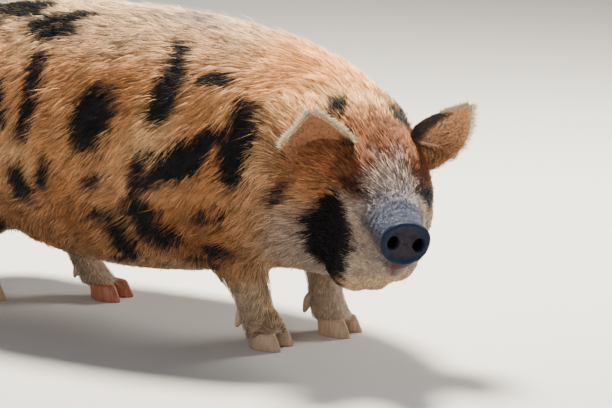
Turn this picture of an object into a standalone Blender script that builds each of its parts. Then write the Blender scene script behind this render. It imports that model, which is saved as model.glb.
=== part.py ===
"""A life-size kunekune pig, walking slowly with its head turned to its right and held low.

The flesh is one smooth form, fused from rings along the trunk, head and legs, and it is parted into
torso, neck, head and legs with thin cuts. Claws, ears, eyes, tail and the disc of the snout sit on it.
Lengths are in metres. +X is forward, +Y is the pig's left and +Z is up.
"""

import math

import bmesh
import bpy
import numpy as np
from mathutils import Matrix, Vector
from mathutils.bvhtree import BVHTree

GAP = 0.0003

# The middle of the pig's footprint as measured from the trunk's own origin, which lies under the belly
ORIGIN = Vector((0.008, 0.000, 0.0))

# Trunk and neck, outside of the coat: middle of a ring, heading, tilt, half width, above and below
TRUNK = (
    (-0.612, 0.000, 0.440, 0, 0, 0.030, 0.040, 0.040),
    (-0.590, 0.000, 0.435, 0, 0, 0.105, 0.110, 0.110),
    (-0.545, 0.000, 0.425, 0, 0, 0.165, 0.168, 0.170),
    (-0.470, 0.000, 0.415, 0, 0, 0.208, 0.208, 0.205),
    (-0.370, 0.000, 0.405, 0, 0, 0.238, 0.240, 0.235),
    (-0.240, 0.000, 0.390, 0, 0, 0.262, 0.264, 0.262),
    (-0.080, 0.000, 0.382, 0, 0, 0.272, 0.272, 0.272),
    (0.080, 0.000, 0.385, 0, 0, 0.264, 0.261, 0.266),
    (0.200, 0.000, 0.390, 0, 0, 0.246, 0.237, 0.250),
    (0.300, -0.002, 0.392, -4, 4, 0.220, 0.210, 0.242),
    (0.380, -0.018, 0.384, -18, 8, 0.190, 0.174, 0.234),
    (0.445, -0.052, 0.368, -34, 12, 0.160, 0.156, 0.220),
    (0.490, -0.092, 0.352, -45, 14, 0.108, 0.118, 0.170),
)
TRUNK_TOP = 0.95
TRUNK_SQUARE = 2.15

# The snout's disc: its middle, and the heading and downward tilt of the head
NOSE = Vector((0.645, -0.205, 0.285))
HEAD_YAW = math.radians(-45)
HEAD_PITCH = math.radians(14)

# Head, from the occiput to the disc: distance along it, middle height, half width high and low, above, below
HEAD = (
    (-0.300, -0.030, 0.095, 0.120, 0.120, 0.120),
    (-0.255, -0.020, 0.110, 0.136, 0.164, 0.156),
    (-0.210, -0.015, 0.108, 0.136, 0.166, 0.172),
    (-0.170, -0.012, 0.098, 0.124, 0.146, 0.174),
    (-0.135, -0.010, 0.082, 0.104, 0.120, 0.162),
    (-0.100, -0.006, 0.064, 0.080, 0.082, 0.138),
    (-0.066, -0.002, 0.052, 0.059, 0.055, 0.104),
    (-0.036, 0.000, 0.046, 0.049, 0.044, 0.074),
    (-0.004, 0.000, 0.042, 0.042, 0.039, 0.046),
)
HEAD_SQUARE = 2.2

# Balls that swell the form: place in the trunk's frame and radii
SHOULDER = (Vector((0.225, 0.130, 0.330)), Vector((0.110, 0.100, 0.170)))
HAM = (Vector((-0.400, 0.125, 0.330)), Vector((0.150, 0.110, 0.180)))
# The same on the head: place along, aside and up the head, and radii
JOWL = (Vector((-0.172, 0.050, -0.100)), Vector((0.095, 0.060, 0.078)))

# Each leg, from inside the body to below the coronet: middle, half length and half width of a level ring
FORELEG = (
    (0.000, 0.130, 0.330, 0.080, 0.062),
    (-0.020, 0.130, 0.240, 0.076, 0.060),
    (-0.018, 0.122, 0.180, 0.068, 0.055),
    (0.000, 0.106, 0.125, 0.049, 0.045),
    (0.004, 0.092, 0.085, 0.040, 0.038),
    (0.008, 0.084, 0.060, 0.041, 0.040),
    (0.020, 0.080, 0.032, 0.042, 0.041),
    (0.026, 0.080, 0.000, 0.046, 0.043),
)
HINDLEG = (
    (0.010, 0.125, 0.340, 0.092, 0.062),
    (0.020, 0.128, 0.260, 0.082, 0.058),
    (-0.010, 0.118, 0.190, 0.062, 0.048),
    (-0.030, 0.102, 0.140, 0.046, 0.040),
    (-0.022, 0.088, 0.090, 0.038, 0.036),
    (-0.004, 0.080, 0.060, 0.039, 0.038),
    (0.012, 0.079, 0.032, 0.041, 0.040),
    (0.020, 0.079, 0.000, 0.045, 0.042),
)
# Where each foot is set, its side, its form, and how far its top follows it from the hip
LEGS = {
    "foreleg_right": (0.246, -1, FORELEG, 0.236),
    "foreleg_left": (0.316, 1, FORELEG, 0.262),
    "hindleg_right": (-0.462, -1, HINDLEG, -0.410),
    "hindleg_left": (-0.243, 1, HINDLEG, -0.345),
}
LEG_HIGH = 0.330
# The rounded cut between a leg and the torso, measured from above the foot
LEG_ROOM = (Vector((0.000, 0.112, 0.075)), Vector((0.104, 0.108, 0.112)))

CORONET = 0.034
CLAW_LENGTH = 0.076
CLAW_WIDTH = 0.037
CLAW_SPREAD = 0.0215
CLAW_TURN = math.radians(5)
CLAW_FORWARD = 0.028
# Claw from coronet to sole: height, share of the length and width, and how far it reaches ahead
CLAW = (
    (CORONET - GAP, 0.86, 0.94, -0.005),
    (0.018, 0.94, 1.00, 0.000),
    (0.006, 1.00, 1.00, 0.004),
    (0.000, 0.96, 0.92, 0.004),
)
DEWCLAW_LENGTH = 0.034
DEWCLAW_RADIUS = 0.011
DEWCLAW_HEIGHT = 0.066
DEWCLAW_BEHIND = 0.025

EYE = Vector((-0.106, 0.070, 0.060))
EYE_OUT = Vector((0.50, 0.84, 0.22)).normalized()
EYE_RADIUS = 0.012
EYE_DEPTH = 0.007
LID_HALF_WIDTH = 0.0155
LID_HALF_HEIGHT = 0.0085
LID_THICK = 0.0028

# Each ear as if on the left: the middle of its root on the head, where it points and where its cup faces
EARS = {
    "right": (Vector((-0.245, 0.096, 0.085)), Vector((0.42, 0.34, 0.84)), Vector((0.85, 0.15, -0.50))),
    "left": (Vector((-0.240, 0.100, 0.080)), Vector((0.33, 0.42, 0.80)), Vector((0.85, 0.30, -0.38))),
}
EAR_CLEAR = 0.100
EAR_CLEAR_AHEAD = Vector((0.020, 0.0, 0.010))
EAR_LENGTH = 0.145
EAR_SUNK = 0.034
EAR_HALF_WIDTH = 0.062
EAR_CUP = 0.030
EAR_LEAN = 0.014
EAR_THICK = 0.006

DISC_BACK = -0.014
DISC_ROLL = math.radians(-9)
# Disc of the snout, from its back to the dish in its front: distance along, and share of its size
DISC = (
    (DISC_BACK + GAP, 0.90),
    (-0.009, 0.99),
    (-0.001, 1.00),
    (0.004, 0.95),
    (0.003, 0.86),
    (0.000, 0.78),
)
DISC_HALF = (0.053, 0.048, 0.043, 0.045)
NOSTRIL = Vector((0.002, 0.0255, 0.000))
NOSTRIL_RADIUS = 0.0100
NOSTRIL_DEPTH = 0.010

# Mouth along the right side of the face, from its corner to the middle of the upper lip
MOUTH = ((-0.128, 0.098, -0.060), (-0.100, 0.090, -0.070), (-0.070, 0.070, -0.074), (-0.042, 0.048, -0.066),
         (-0.024, 0.020, -0.056), (-0.020, 0.000, -0.054))
LIP_THICK = 0.0048
MOUTH_OPEN = 0.0012
MOUTH_DEEP = 0.007

# Tail: place and radius from the rump down, with its first point inside the torso
TAIL = (
    (-0.560, 0.000, 0.545, 0.026),
    (-0.608, 0.000, 0.550, 0.021),
    (-0.644, 0.004, 0.524, 0.016),
    (-0.655, 0.010, 0.480, 0.013),
    (-0.651, 0.010, 0.435, 0.011),
    (-0.648, 0.002, 0.395, 0.010),
    (-0.654, -0.008, 0.362, 0.008),
    (-0.662, -0.010, 0.345, 0.004),
)

# Planes that part the neck from the torso and the head from the neck: a point and a heading
NECK_CUT = (Vector((0.345, 0.000, 0.390)), math.radians(-15))
HEAD_CUT = (Vector((0.452, -0.060, 0.350)), math.radians(-36))

COAT_DEEPEST = 0.022
SKIN_SHARE = -0.75
CORE_SHARE = -0.35
TIP_SHARE = 0.25

# Locks of the coat: spacing of their roots, length, half width and half thickness
BODY_LOCK = (0.108, 0.158, 0.038, 0.0070)
NECK_LOCK = (0.078, 0.115, 0.028, 0.0055)
HEAD_LOCK = (0.054, 0.080, 0.019, 0.0045)
LEG_LOCK = (0.058, 0.078, 0.020, 0.0040)
TAIL_LOCK = (0.020, 0.075, 0.010, 0.0035)
TAIL_LOCKS = 6
# Along a lock: share of its length, width, thickness and rise, where 1 is the coat's outside
LOCK = ((0.00, 0.60, 1.00, -1.1), (0.38, 1.00, 1.00, 0.20), (0.74, 0.70, 0.60, 0.60), (1.00, 0.0, 0.0, 1.00))
# The least cosine between the ways that a lock points at its root and at its tip
LOCK_BEND = 0.55
SEED = 7

FUSE_VOXEL = 0.008
FINE_TRIANGLES = 5400
CORE_TRIANGLES = 3000


def clear_scene():
    for obj in list(bpy.data.objects):
        bpy.data.objects.remove(obj)


def material(name, colour, roughness):
    made = bpy.data.materials.new(name)
    made.use_nodes = True
    shader = made.node_tree.nodes["Principled BSDF"]
    shader.inputs["Base Color"].default_value = (*colour, 1)
    shader.inputs["Roughness"].default_value = roughness
    return made


def place(mesh, name):
    obj = bpy.data.objects.new(name, mesh)
    bpy.context.scene.collection.objects.link(obj)
    return obj


def from_bmesh(bm, name):
    bmesh.ops.recalc_face_normals(bm, faces=bm.faces)
    mesh = bpy.data.meshes.new(name)
    bm.to_mesh(mesh)
    bm.free()
    return place(mesh, name)


def joined(forms, name):
    """Several closed bmeshes as one object, still overlapping."""
    whole = bmesh.new()
    for bm in forms:
        bmesh.ops.recalc_face_normals(bm, faces=bm.faces)
        scrap = bpy.data.meshes.new("scrap")
        bm.to_mesh(scrap)
        bm.free()
        whole.from_mesh(scrap)
        bpy.data.meshes.remove(scrap)
    mesh = bpy.data.meshes.new(name)
    whole.to_mesh(mesh)
    whole.free()
    return place(mesh, name)


def copy_of(obj, name):
    return place(obj.data.copy(), name)


def applied(obj):
    """The object's modifiers made part of its mesh."""
    graph = bpy.context.evaluated_depsgraph_get()
    mesh = bpy.data.meshes.new_from_object(obj.evaluated_get(graph))
    obj.modifiers.clear()
    old = obj.data
    obj.data = mesh
    bpy.data.meshes.remove(old)
    return obj


def carve(obj, other, operation="DIFFERENCE"):
    """A Boolean with another closed object, which is used up."""
    other.hide_render = True
    other.display_type = "WIRE"
    cut = obj.modifiers.new("Cut", "BOOLEAN")
    cut.operation = operation
    cut.solver = "MANIFOLD"
    cut.object = other
    applied(obj)
    bpy.data.objects.remove(other)
    return obj


def largest_piece(obj):
    """The object without loose crumbs beside its largest closed surface."""
    bm = bmesh.new()
    bm.from_mesh(obj.data)
    left = set(bm.verts)
    pieces = []
    while left:
        piece, rim = set(), [left.pop()]
        while rim:
            vert = rim.pop()
            piece.add(vert)
            for edge in vert.link_edges:
                other = edge.other_vert(vert)
                if other in left:
                    left.remove(other)
                    rim.append(other)
        pieces.append(piece)
    pieces.sort(key=len)
    bmesh.ops.delete(bm, geom=[v for piece in pieces[:-1] for v in piece], context="VERTS")
    bm.to_mesh(obj.data)
    bm.free()
    return obj


def run_through(rows, steps):
    """Catmull-Rom: rows of numbers with extra rows between them, so that the form is smooth."""
    rows = np.array(rows, float)
    padded = np.vstack([2 * rows[0] - rows[1], rows, 2 * rows[-1] - rows[-2]])
    made = []
    for i in range(len(rows) - 1):
        a, b, c, d = padded[i : i + 4]
        for t in np.arange(steps) / steps:
            bend = 2 * a - 5 * b + 4 * c - d
            made.append(b + 0.5 * t * (c - a + t * (bend + t * (3 * (b - c) + d - a))))
    return [*made, rows[-1]]


def heading(yaw, pitch=0.0):
    """The turn that carries +X to a heading, tipped down by pitch."""
    return Matrix.Rotation(yaw, 3, "Z") @ Matrix.Rotation(pitch, 3, "Y")


HEAD_TURN = heading(HEAD_YAW, HEAD_PITCH)


def on_head(along, aside, up):
    """A point of the head's own frame, which has its origin at the disc and +X out of it."""
    return NOSE + HEAD_TURN @ Vector((along, aside, up))


def in_head(co):
    return HEAD_TURN.transposed() @ (co - NOSE)


def ring(bm, middle, turn, high, low, above, below, square, sides):
    """One cross-section, square to the turned X axis, as wide as high on top and as low underneath."""
    made = bmesh.ops.create_circle(bm, segments=sides, radius=1)["verts"]
    for i, vert in enumerate(made):
        angle = 2 * math.pi * i / sides
        c, s = math.cos(angle), math.sin(angle)
        half = low + (high - low) * (s + 1) / 2
        aside = half * math.copysign(abs(c) ** (2 / square), c)
        up = (above if s > 0 else below) * math.copysign(abs(s) ** (2 / square), s)
        vert.co = middle + turn @ Vector((0, aside, up))
    return made


def skinned(bm, rows, closed=False, tip=None):
    """Faces between rows of points, closed into a loop, by an end face each, or by a point at the far end."""
    sides = len(rows[0])
    for a, b in zip(rows, rows[1:] + rows[:1] if closed else rows[1:]):
        for i in range(sides):
            j = (i + 1) % sides
            bm.faces.new((a[i], a[j], b[j], b[i]))
    if not closed:
        bm.faces.new(rows[0])
    if tip:
        point = bm.verts.new(tip)
        for i in range(sides):
            bm.faces.new((rows[-1][i], rows[-1][(i + 1) % sides], point))
    elif not closed:
        bm.faces.new(rows[-1])
    return bm


def loft(rings, sides, square=2.0):
    """A closed form through (middle, turn, high, low, above, below) rings."""
    bm = bmesh.new()
    return skinned(bm, [ring(bm, *r, square, sides) for r in rings])


def sweep(points, outs, widths, heights, sides, closed=False):
    """A band or tube along points, as wide and as high as given, with each of its outs away from the skin."""
    bm = bmesh.new()
    rows = []
    count = len(points)
    for i, (point, out, width, height) in enumerate(zip(points, outs, widths, heights)):
        after = points[(i + 1) % count] if closed else points[min(i + 1, count - 1)]
        before = points[i - 1] if closed else points[max(i - 1, 0)]
        side = (after - before).cross(out).normalized()
        up = side.cross(after - before).normalized()
        angles = [2 * math.pi * k / sides for k in range(sides)]
        rows.append([bm.verts.new(point + side * width * math.cos(a) + up * height * math.sin(a)) for a in angles])
    return skinned(bm, rows, closed)


def ball(middle, radii, turn=None, fineness=3):
    bm = bmesh.new()
    bmesh.ops.create_icosphere(bm, subdivisions=fineness, radius=1)
    bmesh.ops.scale(bm, vec=radii, verts=bm.verts)
    if turn:
        bmesh.ops.rotate(bm, cent=(0, 0, 0), matrix=turn, verts=bm.verts)
    bmesh.ops.translate(bm, vec=middle, verts=bm.verts)
    return bm


def slab(middle, turn, low, high):
    """A cutting block between two corners of a turned frame."""
    bm = bmesh.new()
    bmesh.ops.create_cube(bm, size=1)
    for vert in bm.verts:
        corner = Vector([high[i] if vert.co[i] > 0 else low[i] for i in range(3)])
        vert.co = middle + turn @ corner
    return from_bmesh(bm, "block")


def trunk_form():
    rings = []
    for x, y, z, yaw, pitch, half, above, below in run_through(TRUNK, 4):
        turn = heading(math.radians(yaw), math.radians(pitch))
        rings.append((Vector((x, y, z)), turn, half * TRUNK_TOP, half, above, below))
    return loft(rings, 48, TRUNK_SQUARE)


def head_form():
    rings = [(on_head(along, 0, up), HEAD_TURN, *sizes) for along, up, *sizes in run_through(HEAD, 4)]
    return loft(rings, 40, HEAD_SQUARE)


def leg_middle(name, z):
    """How far forward a leg stands at a height, between its foot and its hip."""
    foot, _, _, hip = LEGS[name]
    rise = min(1.0, max(0.0, z / LEG_HIGH))
    return foot + (hip - foot) * rise


def leg_form(name):
    _, side, rows, _ = LEGS[name]
    level = heading(0, math.radians(90))
    rings = []
    for ahead, aside, z, half_length, half_width in run_through(rows, 3):
        middle = Vector((leg_middle(name, z) + ahead, side * aside, z))
        rings.append((middle, level, half_width, half_width, half_length, half_length))
    return loft(rings, 28, 2.1)


def flesh_forms():
    """The trunk, neck, head and legs as closed forms that overlap."""
    forms = [trunk_form(), head_form(), *[leg_form(name) for name in LEGS]]
    for side in (-1, 1):
        mirror = Vector((1, side, 1))
        forms += [ball(middle * mirror, radii) for middle, radii in (SHOULDER, HAM)]
        forms += [ball(on_head(*(middle * mirror)), radii, HEAD_TURN) for middle, radii in (JOWL,)]
    return forms


def ease(value, low, high):
    """0 below low, 1 above high and smooth between them."""
    t = min(1.0, max(0.0, (value - low) / (high - low)))
    return t * t * (3 - 2 * t)


def coat_depth(co):
    """How deep the coat is: deepest on neck and back, thin on the face and feet, bare at the disc."""
    face = ease(in_head(co).x, -0.30, -0.05)
    body = 0.018 + 0.004 * ease(co.z, 0.35, 0.60)
    leg = ease(co.z, 0.03, 0.22)
    return (1 - face) * (0.004 + (body - 0.004) * leg) + face * 0.001


def flesh_softness(co):
    """The face and legs keep their forms, and the neck, shoulders and hams melt together."""
    face = ease(in_head(co).x, -0.27, -0.13)
    leg = 1 - ease(co.z, 0.14, 0.24)
    return min(1.0, max(0.30 - 0.15 * leg, (1 - face) * (1 - leg)))


def fuse(obj, voxel, rounds, share):
    """Overlapping forms fused into one smooth closed surface, moved out or in by a share of the coat."""
    remesh = obj.modifiers.new("Fuse", "REMESH")
    remesh.mode = "VOXEL"
    remesh.voxel_size = voxel
    applied(obj)
    soft = obj.vertex_groups.new(name="Soft")
    coat = obj.vertex_groups.new(name="Coat")
    for v in obj.data.vertices:
        soft.add([v.index], flesh_softness(v.co), "REPLACE")
        coat.add([v.index], coat_depth(v.co) / COAT_DEEPEST, "REPLACE")
    smooth = obj.modifiers.new("Smooth", "SMOOTH")
    smooth.factor = 0.5
    smooth.iterations = rounds
    smooth.vertex_group = "Soft"
    depth = obj.modifiers.new("Coat", "DISPLACE")
    depth.mid_level = 0
    depth.strength = share * COAT_DEEPEST
    depth.vertex_group = "Coat"
    return applied(obj)


def grown(obj, gap):
    """A copy whose surface stands a gap outside the object's."""
    wider = copy_of(obj, "wider")
    swell = wider.modifiers.new("Gap", "DISPLACE")
    swell.mid_level = 0
    swell.strength = gap
    return applied(wider)


def thin_out(obj, triangles, where=None):
    """Fewer triangles, all over or only at the points that a rule picks."""
    group = obj.vertex_groups.new(name="Thin")
    for v in obj.data.vertices:
        group.add([v.index], 1.0 if where is None or where(v.co) else 0.0, "REPLACE")
    now = sum(len(p.vertices) - 2 for p in obj.data.polygons)
    decimate = obj.modifiers.new("Thin", "DECIMATE")
    decimate.ratio = triangles / now
    decimate.vertex_group = "Thin"
    decimate.vertex_group_factor = 1.0
    decimate.use_collapse_triangulate = True
    applied(obj)
    obj.vertex_groups.clear()
    return obj


def surface_of(obj):
    graph = bpy.context.evaluated_depsgraph_get()
    return BVHTree.FromObject(obj, graph)


def leg_ball(name, gap):
    middle, radii = LEG_ROOM
    side = LEGS[name][1]
    at = Vector((leg_middle(name, middle.z), side * middle.y, middle.z))
    return from_bmesh(ball(at, radii + Vector((gap, gap, gap)), None, 2), "room")


def dewclaw_top(leg, side):
    x = leg_middle(leg, DEWCLAW_HEIGHT) - DEWCLAW_BEHIND
    return Vector((x, LEGS[leg][1] * 0.082 + side * 0.018, DEWCLAW_HEIGHT))


def lie_of(co):
    """The way the coat lies: back and down the flank, back over the head, down the rump and the legs."""
    here = in_head(co)
    head = ease(here.x, -0.38, -0.22) * ease(here.y, -0.24, -0.18)
    leg = 1 - ease(co.z, 0.15, 0.24)
    rise = (co.z - 0.39) / 0.27
    rump = ease(-co.x, 0.40, 0.56)
    flank = Vector((-1.0, 0.0, -0.45 * max(0.0, 1 - rise * rise) - 2.0 * rump))
    over = HEAD_TURN @ Vector((-1.0, 2.0 * here.y, 3.0 * max(0.0, here.z) - 0.15))
    down = Vector((-0.25, 0.0, -1.0))
    body = flank.normalized() * (1 - head) + over.normalized() * head
    return (body * (1 - leg * (1 - head)) + down * leg * (1 - head)).normalized()


def lock_kind(co):
    """The lock that grows at a place, or None where the coat is short or something else grows."""
    here = in_head(co)
    if co.z < 0.062 or here.x > -0.085:
        return None
    for hand, side in (("right", -1), ("left", 1)):
        mirror = Vector((1, side, 1))
        if (here - (EARS[hand][0] + EAR_CLEAR_AHEAD) * mirror).length < EAR_CLEAR:
            return None
        if (here - EYE * mirror).length < 0.045:
            return None
    if min((here - Vector((a, math.copysign(b, here.y), c))).length for a, b, c in MOUTH) < 0.035:
        return None
    if (co - Vector(TAIL[1][:3])).length < 0.072:
        return None
    if co.z < 0.15 and min((co - dewclaw_top(leg, side)).length for leg in LEGS for side in (-1, 1)) < 0.055:
        return None
    turn, middle = heading(HEAD_CUT[1]), HEAD_CUT[0]
    if (turn.transposed() @ (co - middle)).x > 0:
        return HEAD_LOCK
    if co.z < 0.17:
        near = min((co - Vector((leg_middle(name, co.z), LEGS[name][1] * 0.10, co.z))).length for name in LEGS)
        if near < 0.085:
            return LEG_LOCK
    turn, middle = heading(NECK_CUT[1]), NECK_CUT[0]
    if (turn.transposed() @ (co - middle)).x > 0:
        return NECK_LOCK
    return BODY_LOCK


def bends_too_far(skin, co, kind):
    """Whether a lock from here would fold over itself in a crease or at an edge of the flesh."""
    _, out, _, _ = skin.find_nearest(co)
    way = lie_of(co)
    start = (way - out * way.dot(out)).normalized()
    _, out, _, _ = skin.find_nearest(co + start * kind[1])
    way = lie_of(co + start * kind[1])
    end = (way - out * way.dot(out)).normalized()
    return start.dot(end) < LOCK_BEND


def spread(obj, skin, rng):
    """Places on the surface, evenly apart by the spacing of the lock that grows there."""
    faces = obj.data.polygons
    areas = np.array([p.area for p in faces])
    picks = rng.choice(len(faces), size=14000, p=areas / areas.sum())
    kept = []
    for index in picks:
        corners = [obj.data.vertices[i].co for i in faces[index].vertices]
        u, v = sorted(rng.random(2))
        co = corners[0] * u + corners[1] * (v - u) + corners[-1] * (1 - v)
        kind = lock_kind(co)
        if not kind or bends_too_far(skin, co, kind):
            continue
        if not all(lock_kind(co + lie_of(co) * kind[1] * share) for share in (0.3, 0.6, 0.9, 1.15)):
            continue
        if all((co - other).length > min(kind[0], size[0]) for other, size in kept):
            kept.append((co, kind))
    return kept


def lock(skin, root, kind, rng):
    """One flat tapered lock, with its root sunk in the core and bent along the skin with the coat's lie."""
    _, length, half, thick = kind
    length *= rng.uniform(0.85, 1.15)
    half *= rng.uniform(0.85, 1.15)
    lift = (TIP_SHARE - CORE_SHARE) * coat_depth(root) * rng.uniform(0.85, 1.1)
    veer = rng.uniform(-0.18, 0.18)
    co, out, _, _ = skin.find_nearest(root)
    bm = bmesh.new()
    rows = []
    reached = 0.0
    for share, width, depth, rise in LOCK:
        way = lie_of(co)
        way = (way - out * way.dot(out)).normalized()
        way = (way + veer * out.cross(way)).normalized()
        co, out, _, _ = skin.find_nearest(co + way * (share - reached) * length)
        reached = share
        middle = co + out * lift * rise
        side = out.cross(way).normalized()
        if width:
            edge = side * half * width - out * thick * 0.4
            spots = (edge, out * thick * depth, -side * half * width - out * thick * 0.4)
            rows.append([bm.verts.new(middle + spot) for spot in spots])
    return from_bmesh(skinned(bm, rows, tip=middle), "lock")


def tail_tuft(rng):
    """The locks of the tail's switch, spread round its lower part."""
    rows = run_through(TAIL, 2)
    switch = []
    for i in range(TAIL_LOCKS):
        x, y, z, radius = rows[8 + (i * 4) // TAIL_LOCKS]
        around = 2.1 * i + rng.uniform(-0.3, 0.3)
        out = Vector((math.cos(around), math.sin(around), 0.0))
        way = (Vector((0.0, 0.0, -1.0)) + 0.22 * out).normalized()
        _, length, half, thick = TAIL_LOCK
        side = out.cross(way).normalized()
        bm = bmesh.new()
        rows_of_lock = []
        for share, width, depth, _ in LOCK[:-1]:
            middle = Vector((x, y, z)) + way * length * (share - 0.1)
            edge = side * half * width
            spots = (edge, out * thick * depth, -edge, -out * thick * depth)
            rows_of_lock.append([bm.verts.new(middle + spot) for spot in spots])
        tip = Vector((x, y, z)) + way * length * 0.9
        switch.append(from_bmesh(skinned(bm, rows_of_lock, tip=tip), "lock"))
    return switch


def fused(obj, pieces):
    """The object and many closed pieces made one solid, by one union on their collection."""
    crowd = bpy.data.collections.new("pieces")
    for piece in pieces:
        crowd.objects.link(piece)
    union = obj.modifiers.new("Union", "BOOLEAN")
    union.operation = "UNION"
    union.operand_type = "COLLECTION"
    union.collection = crowd
    union.solver = "MANIFOLD"
    applied(obj)
    for piece in list(crowd.objects):
        bpy.data.objects.remove(piece)
    bpy.data.collections.remove(crowd)
    return largest_piece(obj)


def part_flesh(flesh):
    """The flesh in its named pieces, parted by cuts as thin as the gap."""
    pieces = {}
    reach = 1.0
    level = heading(0)
    for name in LEGS:
        leg = carve(copy_of(flesh, name), leg_ball(name, 0.0), "INTERSECT")
        carve(leg, slab(Vector((0, 0, CORONET)), level, (-reach, -reach, -reach), (reach, reach, 0)))
        pieces[name] = largest_piece(leg)
        carve(flesh, leg_ball(name, GAP))
    half = GAP / 2
    for name, (middle, yaw) in (("torso", NECK_CUT), ("neck", HEAD_CUT)):
        turn = heading(yaw)
        ahead = slab(middle, turn, (-half, -reach, -reach), (reach, reach, reach))
        pieces[name] = largest_piece(carve(copy_of(flesh, name), ahead))
        carve(flesh, slab(middle, turn, (-reach, -reach, -reach), (half, reach, reach)))
    flesh.name = "head"
    pieces["head"] = largest_piece(flesh)
    return pieces


def eye_place(skin, side):
    """The eye's middle and the way it looks, found from the skin of the head."""
    out = HEAD_TURN @ (EYE_OUT * Vector((1, side, 1)))
    start = on_head(*(EYE * Vector((1, side, 1)))) + 0.05 * out
    hit, _, _, _ = skin.ray_cast(start, -out)
    return hit - EYE_DEPTH * out, out


def lid_ring(middle, out, side):
    """An almond-shaped rim round the eye, with its heavier half above."""
    across = (HEAD_TURN @ Vector((1, 0, 0.1))).cross(out).cross(out).normalized()
    rise = out.cross(across).normalized()
    if rise.z < 0:
        rise = -rise
    points, widths = [], []
    steps = 14
    for i in range(steps):
        angle = 2 * math.pi * i / steps
        c, s = math.cos(angle), math.sin(angle)
        lift = LID_HALF_HEIGHT * math.copysign(abs(s) ** 1.3, s)
        points.append(middle + out * 0.0095 + across * LID_HALF_WIDTH * c + rise * lift)
        widths.append(LID_THICK * (1.35 if s > 0 else 1.0))
    return sweep(points, [out] * steps, widths, widths, 6, closed=True)


def mouth_path(skin):
    """The line of the mouth round the front of the face, laid on its skin."""
    right = [Vector(p) * Vector((1, -1, 1)) for p in MOUTH]
    left = [p * Vector((1, -1, 1)) for p in right[:-1]]
    path = [skin.find_nearest(on_head(*p)) for p in [*right, *reversed(left)]]
    return [spot[0] for spot in path], [spot[1] for spot in path]


def finish_head(head):
    """Lids, sockets, lips and the flat behind the disc, all part of the head's one solid."""
    skin = surface_of(head)
    for side in (-1, 1):
        middle, out = eye_place(skin, side)
        carve(head, from_bmesh(lid_ring(middle, out, side), "lids"), "UNION")
    points, outs = mouth_path(skin)
    count = len(points)
    taper = [min(1.0, 0.30 + 0.25 * min(i, count - 1 - i)) for i in range(count)]
    points = [p - out * LIP_THICK * (1.1 - t) for p, out, t in zip(points, outs, taper)]
    lips = sweep(points, outs, [LIP_THICK * t for t in taper], [LIP_THICK * 0.7 * t for t in taper], 8)
    carve(head, from_bmesh(lips, "lips"), "UNION")
    points = [(a + b) / 2 for a, b in zip(points, points[1:])]
    slit = sweep(points, outs, [MOUTH_OPEN] * count, [MOUTH_DEEP * t for t in taper], 4)
    carve(head, from_bmesh(slit, "slit"))
    for side in (-1, 1):
        middle, out = eye_place(skin, side)
        carve(head, eyeball(middle, out, EYE_RADIUS + GAP, "socket"))
    carve(head, slab(NOSE, HEAD_TURN, (DISC_BACK, -0.2, -0.2), (0.2, 0.2, 0.2)))
    return largest_piece(head)


def eyeball(middle, out, radius, name):
    """A ball with its pole on the pupil."""
    bm = bmesh.new()
    bmesh.ops.create_uvsphere(bm, u_segments=14, v_segments=8, radius=radius)
    bmesh.ops.rotate(bm, cent=(0, 0, 0), matrix=out.to_track_quat("Z", "Y").to_matrix(), verts=bm.verts)
    bmesh.ops.translate(bm, vec=middle, verts=bm.verts)
    return from_bmesh(bm, name)


def snout_disc():
    """The disc: a rim round a shallow dish, with two nostrils sunk into it."""
    high, low, above, below = DISC_HALF
    turn = HEAD_TURN @ Matrix.Rotation(DISC_ROLL, 3, "X")
    rings = []
    for along, share in DISC:
        middle = NOSE + turn @ Vector((along, 0, 0))
        rings.append((middle, turn, high * share, low * share, above * share, below * share))
    disc = from_bmesh(loft(rings, 28, 2.2), "snout_disc")
    for side in (-1, 1):
        middle = NOSE + turn @ (NOSTRIL * Vector((1, side, 1)))
        radii = Vector((NOSTRIL_DEPTH, NOSTRIL_RADIUS * 0.8, NOSTRIL_RADIUS))
        carve(disc, from_bmesh(ball(middle, radii, turn, 2), "nostril"))
    return disc


def ear(name, hand, side):
    """A leaf-shaped blade, cupped towards the front, narrow at its root and at its tip."""
    root, along, front = [v * Vector((1, side, 1)) for v in EARS[hand]]
    along = along.normalized()
    across = along.cross(front).normalized()
    front = across.cross(along).normalized()
    length = EAR_LENGTH + EAR_SUNK
    bm = bmesh.new()
    rows = []
    steps, wide = 8, 5
    for i in range(steps + 1):
        t = i / steps
        half = EAR_HALF_WIDTH * max(0.03, math.sin(math.pi * (0.12 + 0.88 * t) ** 0.9)) ** 0.75
        middle = root + along * (t * length - EAR_SUNK) + front * EAR_LEAN * t * t
        row = []
        for k in range(-wide, wide + 1):
            u = k / wide
            cup = EAR_CUP * (1 - t * t) * u * u
            row.append(bm.verts.new(on_head(*(middle + across * half * u + front * cup))))
        rows.append(row)
    for a, b in zip(rows, rows[1:]):
        for i in range(2 * wide):
            bm.faces.new((a[i], a[i + 1], b[i + 1], b[i]))
    blade = from_bmesh(bm, name)
    thick = blade.modifiers.new("Thick", "SOLIDIFY")
    thick.thickness = EAR_THICK
    thick.offset = 0
    return applied(blade)


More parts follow.
